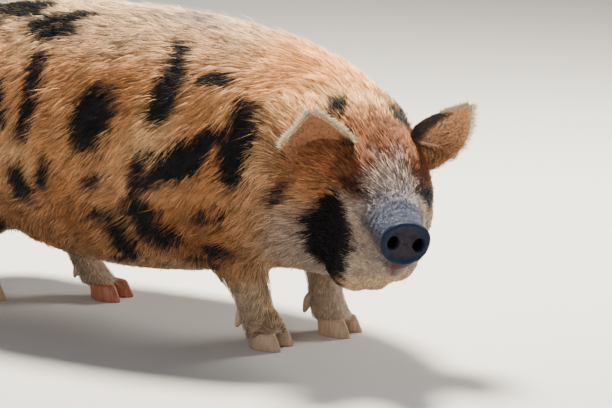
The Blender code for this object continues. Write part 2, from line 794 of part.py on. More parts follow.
def claw(name, leg, side):
    """One toe of horn with a flat sole: rounded outside, flatter on the side of the cleft."""
    foot, leg_side, _, _ = LEGS[leg]
    bm = bmesh.new()
    rows = []
    sides = 12
    middle = Vector((foot + CLAW_FORWARD, leg_side * 0.079 + side * CLAW_SPREAD, 0))
    turn = Matrix.Rotation(side * CLAW_TURN, 3, "Z")
    for z, long, wide, ahead in CLAW:
        row = []
        for i in range(sides):
            angle = 2 * math.pi * i / sides
            c, s = math.cos(angle), math.sin(angle)
            x = CLAW_LENGTH / 2 * long * c + ahead
            pinch = 1 - 0.38 * max(0.0, c) ** 2
            y = side * CLAW_WIDTH / 2 * wide * s * pinch * (1.0 if s > 0 else 0.82)
            row.append(bm.verts.new(middle + turn @ Vector((x, y, z))))
        rows.append(row)
    return from_bmesh(skinned(bm, rows), name)


def dewclaw(name, leg, side):
    """A short blunt horn behind the pastern, pointing down and back."""
    top = dewclaw_top(leg, side)
    down = Vector((-0.42, side * 0.12, -0.90)).normalized()
    points = [top + down * DEWCLAW_LENGTH * t for t in (0.0, 0.4, 0.8, 1.0)]
    sizes = [DEWCLAW_RADIUS * s for s in (0.9, 1.0, 0.8, 0.35)]
    out = [Vector((-1, 0, 0))] * len(points)
    return from_bmesh(sweep(points, out, sizes, [0.8 * s for s in sizes], 8), name)


def tail():
    rows = run_through(TAIL, 2)
    points = [Vector(r[:3]) for r in rows]
    sizes = [r[3] for r in rows]
    return from_bmesh(sweep(points, [Vector((0, 1, 0))] * len(rows), sizes, sizes, 8), "tail")


def build():
    clear_scene()
    flesh = fuse(joined(flesh_forms(), "flesh"), FUSE_VOXEL, 40, CORE_SHARE)
    thin_out(flesh, FINE_TRIANGLES)
    thin_out(flesh, CORE_TRIANGLES, lambda co: in_head(co).x < -0.28)
    rng = np.random.default_rng(SEED)
    skin = surface_of(flesh)
    roots = spread(flesh, skin, rng)
    seat = grown(flesh, GAP)
    fused(flesh, [lock(skin, root, kind, rng) for root, kind in roots])
    pieces = part_flesh(flesh)
    skin = surface_of(pieces["head"])
    nodes = dict(pieces)
    for side, hand in ((-1, "right"), (1, "left")):
        nodes[f"eye_{hand}"] = eyeball(*eye_place(skin, side), EYE_RADIUS, f"eye_{hand}")
        blade = ear(f"ear_{hand}", hand, side)
        nodes[f"ear_{hand}"] = largest_piece(carve(blade, copy_of(seat, "seat")))
    finish_head(pieces["head"])
    nodes["snout_disc"] = snout_disc()
    for leg in LEGS:
        for side, where in ((-1, "inner"), (1, "outer")):
            way = side * LEGS[leg][1]
            label = leg.replace("leg", "")
            nodes[f"claw_{label}_{where}"] = claw(f"claw_{label}_{where}", leg, way)
            spur = dewclaw(f"dewclaw_{label}_{where}", leg, way)
            nodes[f"dewclaw_{label}_{where}"] = largest_piece(carve(spur, copy_of(seat, "seat")))
    nodes["tail"] = largest_piece(carve(fused(tail(), tail_tuft(rng)), seat))
    coat = material("ginger coat", (0.45, 0.22, 0.10), 0.85)
    horn = material("horn", (0.42, 0.22, 0.13), 0.4)
    wet = material("eye", (0.02, 0.01, 0.01), 0.1)
    slate = material("snout skin", (0.05, 0.05, 0.07), 0.45)
    for name, obj in nodes.items():
        obj.name = name
        obj.data.name = name
        obj.data.transform(Matrix.Translation(-ORIGIN))
        finish = horn if "claw" in name else wet if "eye" in name else slate if "disc" in name else coat
        obj.data.materials.clear()
        obj.data.materials.append(finish)


build()
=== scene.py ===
"""A grown kunekune pig walking slowly, head low and turned to its right: the visible skin, coat, snout,
eyes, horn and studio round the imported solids. Lengths are in metres, +X is forward and +Y the pig's left."""

import math

import bmesh
import bpy
import numpy as np
from mathutils import Matrix, Vector
from mathutils.bvhtree import BVHTree
from mathutils.kdtree import KDTree


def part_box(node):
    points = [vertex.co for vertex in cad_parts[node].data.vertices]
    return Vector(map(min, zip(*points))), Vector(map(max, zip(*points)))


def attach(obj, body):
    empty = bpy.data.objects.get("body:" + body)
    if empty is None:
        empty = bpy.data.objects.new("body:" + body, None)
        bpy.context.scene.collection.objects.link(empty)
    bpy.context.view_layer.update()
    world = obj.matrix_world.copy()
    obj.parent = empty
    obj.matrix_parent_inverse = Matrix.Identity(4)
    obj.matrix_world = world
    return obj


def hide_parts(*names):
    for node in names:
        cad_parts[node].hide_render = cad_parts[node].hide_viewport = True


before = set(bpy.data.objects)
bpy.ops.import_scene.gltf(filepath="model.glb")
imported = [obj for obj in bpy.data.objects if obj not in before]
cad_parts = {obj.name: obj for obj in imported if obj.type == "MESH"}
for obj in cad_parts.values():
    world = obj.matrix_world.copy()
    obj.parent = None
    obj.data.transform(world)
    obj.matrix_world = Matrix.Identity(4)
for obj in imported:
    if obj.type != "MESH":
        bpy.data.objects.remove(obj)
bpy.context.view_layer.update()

# The body under the coat. Fat and muscle of a short, deep, barrel-shaped pig, with a heavy neck and jowls.
# Trunk, head and legs are rings bridged into closed forms, fused into one surface and melted together.
ORIGIN = Vector((0.008, 0.000, 0.0))
TRUNK = (
    (-0.612, 0.000, 0.440, 0, 0, 0.030, 0.040, 0.040),
    (-0.590, 0.000, 0.435, 0, 0, 0.105, 0.110, 0.110),
    (-0.545, 0.000, 0.425, 0, 0, 0.165, 0.168, 0.170),
    (-0.470, 0.000, 0.415, 0, 0, 0.208, 0.208, 0.205),
    (-0.370, 0.000, 0.405, 0, 0, 0.238, 0.240, 0.235),
    (-0.240, 0.000, 0.390, 0, 0, 0.262, 0.264, 0.262),
    (-0.080, 0.000, 0.382, 0, 0, 0.272, 0.272, 0.272),
    (0.080, 0.000, 0.385, 0, 0, 0.264, 0.261, 0.266),
    (0.200, 0.000, 0.390, 0, 0, 0.246, 0.237, 0.250),
    (0.300, -0.002, 0.392, -4, 4, 0.220, 0.210, 0.242),
    (0.380, -0.018, 0.384, -18, 8, 0.190, 0.174, 0.234),
    (0.445, -0.052, 0.368, -34, 12, 0.160, 0.156, 0.220),
    (0.490, -0.092, 0.352, -45, 14, 0.108, 0.118, 0.170),
)
TRUNK_TOP = 0.95
NOSE = Vector((0.645, -0.205, 0.285))
HEAD_YAW = math.radians(-45)
HEAD_PITCH = math.radians(14)
HEAD = (
    (-0.300, -0.030, 0.095, 0.120, 0.120, 0.120),
    (-0.255, -0.020, 0.110, 0.136, 0.164, 0.156),
    (-0.210, -0.015, 0.108, 0.136, 0.166, 0.172),
    (-0.170, -0.012, 0.098, 0.124, 0.146, 0.174),
    (-0.135, -0.010, 0.082, 0.104, 0.120, 0.162),
    (-0.100, -0.006, 0.064, 0.080, 0.082, 0.138),
    (-0.066, -0.002, 0.052, 0.059, 0.055, 0.104),
    (-0.036, 0.000, 0.046, 0.049, 0.044, 0.074),
    (-0.004, 0.000, 0.042, 0.042, 0.039, 0.046),
)
SHOULDER = (Vector((0.225, 0.130, 0.330)), Vector((0.110, 0.100, 0.170)))
HAM = (Vector((-0.400, 0.125, 0.330)), Vector((0.150, 0.110, 0.180)))
JOWL = (Vector((-0.172, 0.050, -0.100)), Vector((0.095, 0.060, 0.078)))
FORELEG = (
    (0.000, 0.130, 0.330, 0.080, 0.062),
    (-0.020, 0.130, 0.240, 0.076, 0.060),
    (-0.018, 0.122, 0.180, 0.068, 0.055),
    (0.000, 0.106, 0.125, 0.049, 0.045),
    (0.004, 0.092, 0.085, 0.040, 0.038),
    (0.008, 0.084, 0.060, 0.041, 0.040),
    (0.020, 0.080, 0.032, 0.042, 0.041),
    (0.026, 0.080, 0.000, 0.046, 0.043),
)
HINDLEG = (
    (0.010, 0.125, 0.340, 0.092, 0.062),
    (0.020, 0.128, 0.260, 0.082, 0.058),
    (-0.010, 0.118, 0.190, 0.062, 0.048),
    (-0.030, 0.102, 0.140, 0.046, 0.040),
    (-0.022, 0.088, 0.090, 0.038, 0.036),
    (-0.004, 0.080, 0.060, 0.039, 0.038),
    (0.012, 0.079, 0.032, 0.041, 0.040),
    (0.020, 0.079, 0.000, 0.045, 0.042),
)
LEGS = {
    "foreleg_right": (0.246, -1, FORELEG, 0.236),
    "foreleg_left": (0.316, 1, FORELEG, 0.262),
    "hindleg_right": (-0.462, -1, HINDLEG, -0.410),
    "hindleg_left": (-0.243, 1, HINDLEG, -0.345),
}
LEG_HIGH = 0.330
CORONET = 0.034
# The skin lies under this share of the coat's depth
SKIN_UNDER = 0.75
VOXEL = 0.0068
MELT_ROUNDS = 55


def place(mesh, name):
    """A new object with this mesh, at the origin and unturned."""
    obj = bpy.data.objects.new(name, mesh)
    bpy.context.scene.collection.objects.link(obj)
    return obj


def from_bmesh(bm, name):
    bmesh.ops.recalc_face_normals(bm, faces=bm.faces)
    mesh = bpy.data.meshes.new(name)
    bm.to_mesh(mesh)
    bm.free()
    return place(mesh, name)


def applied(obj):
    """The object with its modifiers made part of its mesh."""
    graph = bpy.context.evaluated_depsgraph_get()
    mesh = bpy.data.meshes.new_from_object(obj.evaluated_get(graph))
    obj.modifiers.clear()
    old = obj.data
    obj.data = mesh
    bpy.data.meshes.remove(old)
    return obj


def carve(obj, other, operation):
    cut = obj.modifiers.new("Cut", "BOOLEAN")
    cut.operation = operation
    cut.solver = "MANIFOLD"
    cut.object = other
    applied(obj)
    bpy.data.objects.remove(other)
    return obj


def points_of(mesh):
    co = np.empty(len(mesh.vertices) * 3)
    mesh.vertices.foreach_get("co", co)
    return co.reshape(-1, 3)


def move_points(mesh, points):
    mesh.vertices.foreach_set("co", points.ravel())
    mesh.update()


def normals_of(mesh):
    out = np.empty(len(mesh.vertices) * 3)
    mesh.vertex_normals.foreach_get("vector", out)
    return out.reshape(-1, 3)


def ease(value, low, high):
    """0 below low, 1 above high and smooth between them."""
    t = np.clip((value - low) / (high - low), 0.0, 1.0)
    return t * t * (3 - 2 * t)


def bell(value, middle, width):
    """1 at the middle, and falling smoothly to nothing a few widths away."""
    return np.exp(-(((value - middle) / width) ** 2))


def run_through(rows, steps):
    """Catmull-Rom: rows of numbers with extra rows between them, so that the form is smooth."""
    rows = np.array(rows, float)
    padded = np.vstack([2 * rows[0] - rows[1], rows, 2 * rows[-1] - rows[-2]])
    made = []
    for i in range(len(rows) - 1):
        a, b, c, d = padded[i : i + 4]
        for t in np.arange(steps) / steps:
            bend = 2 * a - 5 * b + 4 * c - d
            made.append(b + 0.5 * t * (c - a + t * (bend + t * (3 * (b - c) + d - a))))
    return [*made, rows[-1]]


def heading(yaw, pitch=0.0):
    return Matrix.Rotation(yaw, 3, "Z") @ Matrix.Rotation(pitch, 3, "Y")


HEAD_TURN = heading(HEAD_YAW, HEAD_PITCH)
LEVEL = heading(0, math.radians(90))


def on_head(along, aside, up):
    return NOSE + HEAD_TURN @ Vector((along, aside, up))


def in_head(points):
    """Places as ahead of the nose, to its left and above it, along the head's own axes."""
    return (points - np.array(NOSE)) @ np.array(HEAD_TURN)


def loft(rings, sides, square=2.0):
    """A closed form bridged through (middle, turn, half high, half low, above, below) rings."""
    bm = bmesh.new()
    before = []
    for middle, turn, high, low, above, below in rings:
        verts = bmesh.ops.create_circle(bm, segments=sides, radius=1)["verts"]
        for vert in verts:
            angle = math.atan2(vert.co.y, vert.co.x)
            c, s = math.cos(angle), math.sin(angle)
            half = low + (high - low) * (s + 1) / 2
            aside = half * math.copysign(abs(c) ** (2 / square), c)
            up = (above if s > 0 else below) * math.copysign(abs(s) ** (2 / square), s)
            vert.co = middle + turn @ Vector((0, aside, up))
        loop = list({edge for vert in verts for edge in vert.link_edges})
        if before:
            bmesh.ops.bridge_loops(bm, edges=before + loop)
        else:
            bmesh.ops.holes_fill(bm, edges=loop)
        before = loop
    bmesh.ops.holes_fill(bm, edges=before)
    return bm


def ball(middle, radii, turn=None, fineness=3):
    bm = bmesh.new()
    bmesh.ops.create_icosphere(bm, subdivisions=fineness, radius=1)
    bmesh.ops.scale(bm, vec=radii, verts=bm.verts)
    if turn:
        bmesh.ops.rotate(bm, cent=(0, 0, 0), matrix=turn, verts=bm.verts)
    bmesh.ops.translate(bm, vec=middle, verts=bm.verts)
    return bm


def leg_middle(name, z):
    """How far forward the middle of a leg is at a height, between its foot and its root."""
    foot, _, _, hip = LEGS[name]
    return foot + (hip - foot) * min(1.0, max(0.0, z / LEG_HIGH))


trunk_rings = []
for x, y, z, yaw, pitch, half, above, below in run_through(TRUNK, 4):
    turn = heading(math.radians(yaw), math.radians(pitch))
    trunk_rings.append((Vector((x, y, z)), turn, half * TRUNK_TOP, half, above, below))
head_rings = [(on_head(row[0], 0, row[1]), HEAD_TURN, *row[2:]) for row in run_through(HEAD, 4)]
forms = [loft(trunk_rings, 48, 2.15), loft(head_rings, 40, 2.2)]
for name, (_, side, rows, _) in LEGS.items():
    leg_rings = []
    for ahead, aside, z, half_length, half_width in run_through(rows, 3):
        middle = Vector((leg_middle(name, z) + ahead, side * aside, z))
        leg_rings.append((middle, LEVEL, half_width, half_width, half_length, half_length))
    forms.append(loft(leg_rings, 28, 2.1))
for side in (-1, 1):
    mirror = Vector((1, side, 1))
    forms += [ball(middle * mirror, radii) for middle, radii in (SHOULDER, HAM)]
    forms.append(ball(on_head(*(JOWL[0] * mirror)), JOWL[1], HEAD_TURN))
whole = bmesh.new()
for form in forms:
    bmesh.ops.recalc_face_normals(form, faces=form.faces)
    scrap = bpy.data.meshes.new("scrap")
    form.to_mesh(scrap)
    form.free()
    whole.from_mesh(scrap)
    bpy.data.meshes.remove(scrap)
skin_mesh = bpy.data.meshes.new("skin")
whole.to_mesh(skin_mesh)
whole.free()
skin = place(skin_mesh, "skin")
fuse = skin.modifiers.new("Fuse", "REMESH")
fuse.mode = "VOXEL"
fuse.voxel_size = VOXEL
applied(skin)


def coat_depth(points):
    """How deep the coat is: deepest on neck and back, thin on the face and feet, bare at the disc."""
    face = ease(in_head(points)[:, 0], -0.30, -0.05)
    body = 0.018 + 0.004 * ease(points[:, 2], 0.35, 0.60)
    leg = ease(points[:, 2], 0.03, 0.22)
    return (1 - face) * (0.004 + (body - 0.004) * leg) + face * 0.001


def flesh_softness(points):
    """The face and legs keep their forms, and the neck, shoulders and hams melt together."""
    face = ease(in_head(points)[:, 0], -0.27, -0.13)
    leg = 1 - ease(points[:, 2], 0.14, 0.24)
    return np.clip(np.maximum(0.30 - 0.15 * leg, (1 - face) * (1 - leg)), 0, 1)


soft = skin.vertex_groups.new(name="Soft")
for index, weight in enumerate(flesh_softness(points_of(skin.data))):
    soft.add([index], float(weight), "REPLACE")
melt = skin.modifiers.new("Melt", "SMOOTH")
melt.factor = 0.5
melt.iterations = MELT_ROUNDS
melt.vertex_group = "Soft"
applied(skin)
skin.vertex_groups.clear()
points = points_of(skin.data)
move_points(skin.data, points - normals_of(skin.data) * (SKIN_UNDER * coat_depth(points))[:, None])

# The face's own skin. Small lids close over deep-set eyes, the bridge of the short snout is wrinkled,
# and thin lips meet in a long mouth. The skin is made finer here and then moved, as in sculpting.
SIDES = (("right", -1), ("left", 1))
EYE_RADIUS = 0.012
EYE_OUT = Vector((0.50, 0.84, 0.22)).normalized()
LID_SLIT = (0.0090, 0.0048, 0.0034)
LID_REACH = 0.0235
LID_FOLD = 0.27
LIP_TOP = -0.050
LIP_HIGH = 0.052
LIP_HALF = 0.026
LIP_SWELL = 0.0035
WRINKLE = 0.0012
WRINKLE_APART = 0.013
DISC_ROOM = 0.030
MOUTH = ((-0.128, 0.098, -0.060), (-0.100, 0.090, -0.070), (-0.070, 0.070, -0.074), (-0.042, 0.048, -0.066),
         (-0.024, 0.020, -0.056), (-0.020, 0.000, -0.054))
eyes = {}
for hand, side in SIDES:
    low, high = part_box(f"eye_{hand}")
    out = HEAD_TURN @ (EYE_OUT * Vector((1, side, 1)))
    across = (HEAD_TURN @ Vector((1, 0, 0.10))).cross(out).cross(out).normalized()
    rise = out.cross(across).normalized()
    eyes[hand] = ((low + high) / 2 + ORIGIN, out, across, rise if rise.z > 0 else -rise)


def finer(obj, near):
    """Faces near a place split in four."""
    bm = bmesh.new()
    bm.from_mesh(obj.data)
    points = points_of(obj.data)
    wanted = near(points)
    edges = [e for e in bm.edges if wanted[e.verts[0].index] and wanted[e.verts[1].index]]
    bmesh.ops.subdivide_edges(bm, edges=edges, cuts=1, use_grid_fill=True)
    bmesh.ops.triangulate(bm, faces=[f for f in bm.faces if len(f.verts) > 4])
    bm.to_mesh(obj.data)
    bm.free()


def mouth_distance(points):
    here = in_head(points)
    here[:, 1] = np.abs(here[:, 1])
    line = np.array(run_through(MOUTH, 6))
    best = np.full(len(points), 1.0)
    for a, b in zip(line, line[1:]):
        t = np.clip(((here - a) @ (b - a)) / ((b - a) @ (b - a)), 0, 1)
        best = np.minimum(best, np.linalg.norm(here - a - t[:, None] * (b - a), axis=1))
    return best


def eye_distance(points):
    return np.min([np.linalg.norm(points - np.array(eye[0]), axis=1) for eye in eyes.values()], axis=0)


def lower_lip(here):
    """The bare lip under the mouth, a triangle that points down."""
    down = (LIP_TOP - here[:, 2]) / LIP_HIGH
    wide = LIP_HALF * np.clip(1.05 - down, 0, 1) ** 0.6
    inside = 1 - ease(np.abs(here[:, 1] - 0.003 - 0.006 * down) / np.maximum(wide, 1e-4), 0.80, 1.12)
    return inside * ease(down, -0.40, -0.30) * (down < 1.05) * ease(here[:, 0], -0.090, -0.075)


def jaw_tucked(points):
    """The left jowl is drawn up and in, because the head is rolled a little to its right."""
    here = in_head(points)
    low = ease(-here[:, 2], 0.045, 0.125) * ease(here[:, 0], -0.27, -0.16)
    low *= 1 - 0.8 * ease(here[:, 0], -0.12, -0.07)
    share = np.where(here[:, 1] > 0, 0.56, 0.02) * low
    here[:, 2] += 0.020 * low * ease(here[:, 1], 0.0, 0.07)
    here[:, 1] = 0.004 * low + here[:, 1] * (1 - share)
    return np.array(NOSE) + here @ np.array(HEAD_TURN).T


def slit_measure(points):
    """1 at the edge of the slit between the lids of the nearer eye, and more outside it."""
    best = np.full(len(points), 9.0)
    for middle, out, across, rise in eyes.values():
        offset = points - np.array(middle)
        a, b = offset @ np.array(across), offset @ np.array(rise)
        here = np.hypot(a / LID_SLIT[0], b / np.where(b > 0, LID_SLIT[1], LID_SLIT[2]))
        best = np.where(np.linalg.norm(offset, axis=1) < 0.04, np.minimum(best, here), best)
    return best


move_points(skin.data, jaw_tucked(points_of(skin.data)))
finer(skin, lambda p: in_head(p)[:, 0] > -0.150)
finer(skin, lambda p: (eye_distance(p) < 0.040) | (mouth_distance(p) < 0.020))
face_tree = BVHTree.FromObject(skin, bpy.context.evaluated_depsgraph_get())
# How far from the slit to the outer edge each ring of a lid lies, and how far under the lid's own face
LID_FACE = (0.05, 0.09, 0.13, 0.17, 0.21, 0.25, 0.29, 0.33, 0.37, 0.41, 0.45, 0.49, 0.53, 0.57, 0.61, 0.66,
            0.71, 0.76, 0.82, 0.88)
LID_ROWS = (
    (0.0, 0.0030), (0.0, 0.0012), (0.02, 0.0003), *((outward, 0.0) for outward in LID_FACE), (0.94, 0.0003),
    (1.0, 0.0030), (0.90, 0.0070), (0.70, 0.0080), (0.40, 0.0080), (0.15, 0.0060), (0.0, 0.0030),
)


def lid_height(middle, out, across, rise, a, b, outward):
    """How far out over the middle of the eye the face of a lid lies, at a and b from it."""
    away = math.hypot(a, b)
    over_ball = EYE_RADIUS + 0.0015 - away**2 / (2 * EYE_RADIUS)
    start = middle + across * a + rise * b + out * 0.05
    flesh = 0.05 - face_tree.ray_cast(start, -out)[3] + 0.0005
    share = float(ease(away, 0.0075, 0.0215))
    folded = ease(outward, 0.04, 0.15) * (1 - ease(outward, 0.62, 0.92))
    fold = math.sin(2 * math.pi * outward / LID_FOLD - 0.9) * float(folded)
    return over_ball + (flesh - over_ball) * share + fold * (0.0010 if b > 0 else 0.0007)


for hand, (middle, out, across, rise) in eyes.items():
    bm = bmesh.new()
    around_steps, rows_steps = 80, len(LID_ROWS) - 1
    bmesh.ops.create_grid(bm, x_segments=around_steps, y_segments=rows_steps, size=1)
    for vert in bm.verts:
        angle = math.pi * (vert.co.x + 1)
        outward, under = LID_ROWS[round((vert.co.y + 1) / 2 * rows_steps)]
        c, s = math.cos(angle), math.sin(angle)
        half_open = LID_SLIT[1] if s > 0 else LID_SLIT[2]
        slit = Vector((LID_SLIT[0] * c, half_open * math.copysign(abs(s) ** 1.3, s)))
        a, b = slit.lerp(Vector((c, 0.95 * s)) * LID_REACH, outward)
        vert.co = middle + across * a + rise * b
        vert.co += out * (lid_height(middle, out, across, rise, a, b, outward) - under)
    bmesh.ops.remove_doubles(bm, verts=bm.verts, dist=1e-6)
    lid_ring = from_bmesh(bm, f"lids_{hand}")
    points = points_of(skin.data)
    offset = points - np.array(middle)
    a, b, c = offset @ np.array(across), offset @ np.array(rise), offset @ np.array(out)
    ring = np.hypot(a, b)
    socket = np.sqrt(np.clip((EYE_RADIUS - 0.003) ** 2 - ring**2, 0, None)) - 0.002
    hold = (1 - ease(ring, 0.0115, 0.0160)) * (np.linalg.norm(offset, axis=1) < 0.03)
    move_points(skin.data, points + np.outer(hold * np.minimum(0, socket - c), np.array(out)))
    carve(skin, lid_ring, "UNION")
points = points_of(skin.data)
normals = normals_of(skin.data)
here = in_head(points)
bridge = ease(here[:, 0], -0.105, -0.070) * (1 - ease(here[:, 0], -0.034, -0.016))
bridge *= ease(here[:, 2], -0.01, 0.02)
wave = here[:, 0] + 0.010 * np.cos(here[:, 1] * 55) + 0.002 * np.sin(here[:, 1] * 210)
bridge *= WRINKLE * ease(eye_distance(points), 0.024, 0.034)
points += normals * (bridge * np.sin(wave * 2 * math.pi / WRINKLE_APART))[:, None]
mouth = mouth_distance(points)
groove = -0.0052 * bell(mouth, 0, 0.0020) + 0.0022 * bell(mouth, 0.0062, 0.0034)
points += normals * groove[:, None]
lip = lower_lip(here)
points += lip[:, None] * LIP_SWELL * normals
# The flesh draws back behind the disc to make room for the hollows of the nostrils
from_middle = np.hypot((here[:, 1] - 0.003) / 1.1, here[:, 2])
front = ease(here[:, 0], -0.022, -0.010) * (1 - ease(from_middle, 0.030, 0.037))
points -= np.outer(DISC_ROOM * front, np.array(HEAD_TURN @ Vector((1, 0, 0))))
move_points(skin.data, points)

# Ears. Each is a thin leaf of gristle and skin, cupped forwards, that flops ahead a little at its tip.
# A grid is bent to the cup, given its thickness and joined into the skin of the head.
EARS = {
    "right": (Vector((-0.245, 0.096, 0.085)), Vector((0.42, 0.34, 0.84)), Vector((0.85, 0.15, -0.50))),
    "left": (Vector((-0.240, 0.100, 0.080)), Vector((0.33, 0.42, 0.80)), Vector((0.85, 0.30, -0.38))),
}
# Cup of each ear's inner edge, how much wider the ear is at its outer one, and how far the inner edge rises
EAR_SET = {"right": (1.0, 0.26, 0.0), "left": (-0.35, 0.0, 0.011)}
EAR_LENGTH = 0.145
EAR_SUNK = 0.034
EAR_HALF_WIDTH = 0.062
EAR_CUP = 0.030
EAR_LEAN = 0.014
EAR_THICK = 0.0042
EAR_ROUND = 0.0012
EAR_GRID = (24, 36)


def ear_frame(hand, side):
    """An ear's root, its ways along, across and out of the cup, its side and its set, in the head's axes."""
    root, along, front = [v * Vector((1, side, 1)) for v in EARS[hand]]
    along = along.normalized()
    across = along.cross(front).normalized()
    return root, along, across, across.cross(along).normalized(), side, EAR_SET[hand]


def ear_point(ear, u, t):
    """A place on the ear, u from edge to edge and t from the sunk root to the tip."""
    root, along, across, front, side, (inner_cup, flare, rise) = ear
    half = EAR_HALF_WIDTH * max(0.03, math.sin(math.pi * (0.12 + 0.88 * t) ** 0.9)) ** 0.75
    half *= 1 - 0.22 * float(ease(t, 0.55, 0.95))
    middle = root + along * (t * (EAR_LENGTH + EAR_SUNK) - EAR_SUNK) + front * EAR_LEAN * t * t
    uneven = 0.0012 * math.sin(7 * u + 2 * t) * math.sin(6 * t)
    cup = EAR_CUP * (1 - t * t) * u * u
    if u * side > 0:
        half *= 1 + flare * float(bell(t, 0.60, 0.20))
    else:
        cup *= inner_cup
        half *= 1 if inner_cup > 0 else 0.78 + 0.22 * float(ease(t, 0.20, 0.50))
        middle += along * rise * u * u * float(1 - ease(t, 0.6, 0.95))
    cup += uneven * abs(u)
    return on_head(*(middle + across * half * u + front * cup))


ear_leaf = KDTree(2 * (EAR_GRID[0] + 1) * (EAR_GRID[1] + 1))
ear_rows = []
for hand, side in SIDES:
    ear = ear_frame(hand, side)
    bm = bmesh.new()
    bmesh.ops.create_grid(bm, x_segments=EAR_GRID[0], y_segments=EAR_GRID[1], size=1)
    for vert in bm.verts:
        u, t = vert.co.x, (vert.co.y + 1) / 2
        vert.co = ear_point(ear, u, t)
        ear_leaf.insert(vert.co, len(ear_rows))
        ear_rows.append((side, u * side, t))
    blade = from_bmesh(bm, f"ear_{hand}_blade")
    wall = blade.modifiers.new("Wall", "SOLIDIFY")
    wall.thickness = EAR_THICK
    wall.offset = 0
    round_off = blade.modifiers.new("Round", "BEVEL")
    round_off.width = EAR_ROUND
    round_off.segments = 2
    round_off.limit_method = "ANGLE"
    applied(blade)
    carve(skin, blade, "UNION")
ear_leaf.balance()
ear_rows = np.array(ear_rows)


def by_ears(points):
    """Which of the places are near enough to an ear to be looked up on it."""
    here = in_head(points)
    beside = (here[:, 2] > 0.02) & (np.abs(here[:, 1]) > 0.03)
    return np.where((np.abs(here[:, 0] + 0.25) < 0.14) & beside)[0]


def ear_place(points):
    """Each place's ear: on it or not, its side, u from inner to outer edge, t to its tip, and in the cup."""
    found = [ear_leaf.find(p) for p in points]
    side, u, t = ear_rows[[f[1] for f in found]].T
    offset = points - np.array([f[0] for f in found])
    front = np.where(side[:, None] < 0, *(np.array(HEAD_TURN @ ear_frame(*ear)[3]) for ear in SIDES))
    on_ear = (np.array([f[2] for f in found]) < 0.0085) & (t > 0.27)
    return on_ear, side, u, t, np.sum(offset * front, 1) > 0


# Tail. A thin, nearly straight tail hangs from the top of the rump, and its last third carries a switch.
# Rings along a line that bends down the rump are bridged and joined into the skin.
TAIL = (
    (-0.560, 0.000, 0.545, 0.022),
    (-0.608, 0.000, 0.550, 0.018),
    (-0.644, 0.004, 0.524, 0.014),
    (-0.655, 0.010, 0.480, 0.011),
    (-0.651, 0.010, 0.435, 0.009),
    (-0.648, 0.002, 0.395, 0.008),
    (-0.654, -0.008, 0.362, 0.006),
    (-0.662, -0.010, 0.345, 0.003),
)
tail_rows = run_through(TAIL, 4)
tail_rings = []
for i, row in enumerate(tail_rows):
    ahead = Vector(tail_rows[min(i + 1, len(tail_rows) - 1)][:3]) - Vector(tail_rows[max(i - 1, 0)][:3])
    turn = ahead.to_track_quat("X", "Y").to_matrix()
    tail_rings.append((Vector(row[:3]), turn, row[3], row[3], row[3], row[3]))
carve(skin, from_bmesh(loft(tail_rings, 16), "tail_form"), "UNION")
floor_cut = bmesh.new()
bmesh.ops.create_cube(floor_cut, size=2)
bmesh.ops.translate(floor_cut, vec=(0, 0, CORONET - 0.002 - 1), verts=floor_cut.verts)
carve(skin, from_bmesh(floor_cut, "floor_cut"), "DIFFERENCE")

# Markings. Ginger to straw hair with black spots, a cream and grey face, and cream legs and jaw.
# Spots on the body are strokes from one end to the other over its unrolled side; those on the head likewise.
# Colours are linear RGB. The skin and every hair take theirs from the same rule.
AXIS_HIGH = 0.39
UNROLL = 0.26
HEAD_UNROLL = 0.10
GINGER = (0.50, 0.225, 0.088)
RUST = (0.40, 0.155, 0.050)
STRAW = (0.74, 0.46, 0.24)
CREAM = (0.76, 0.63, 0.48)
PALE = (0.97, 0.76, 0.50)
SLATE = (0.040, 0.062, 0.122)
BLACK = (0.0085, 0.0085, 0.011)
FLANK_PAINTED_SHADE = (0.22, 0.075, 0.028)
NAPE_GOLD_SUNLIT = (0.98, 0.50, 0.19)
BACK_GREY = (0.15, 0.15, 0.18)
CROWN_RUST_SHADED = (0.088, 0.025, 0.009)
POLL_STRAW = (0.86, 0.60, 0.34)
BROW_WHITE = (0.62, 0.55, 0.57)
BROW_STREAK = (0.13, 0.052, 0.030)
CHEEK_GREY = (0.45, 0.38, 0.35)
TEMPLE_ORANGE = (0.53, 0.215, 0.090)
CHIN_STRAW = (0.72, 0.50, 0.28)
FACE_GREY = (0.30, 0.245, 0.225)
LIP_RED = (0.072, 0.018, 0.012)
TUFT_TAWNY = (0.42, 0.19, 0.075)
# Cup colours of the right and left ear; the right one is painted darker, as shade in a cup that faces down
EAR_CUPS = ((0.44, 0.20, 0.095), (0.80, 0.40, 0.21))
EAR_BACK = (0.42, 0.20, 0.095)
EAR_CUP_SHADE = (0.22, 0.080, 0.040)
# Colour round each eye, how far it reaches and how far behind the eye it lies
EYE_RIMS = {"right": ((0.044, 0.013, 0.009), 0.0162, 0.009), "left": ((0.010, 0.009, 0.009), 0.0110, 0.0)}
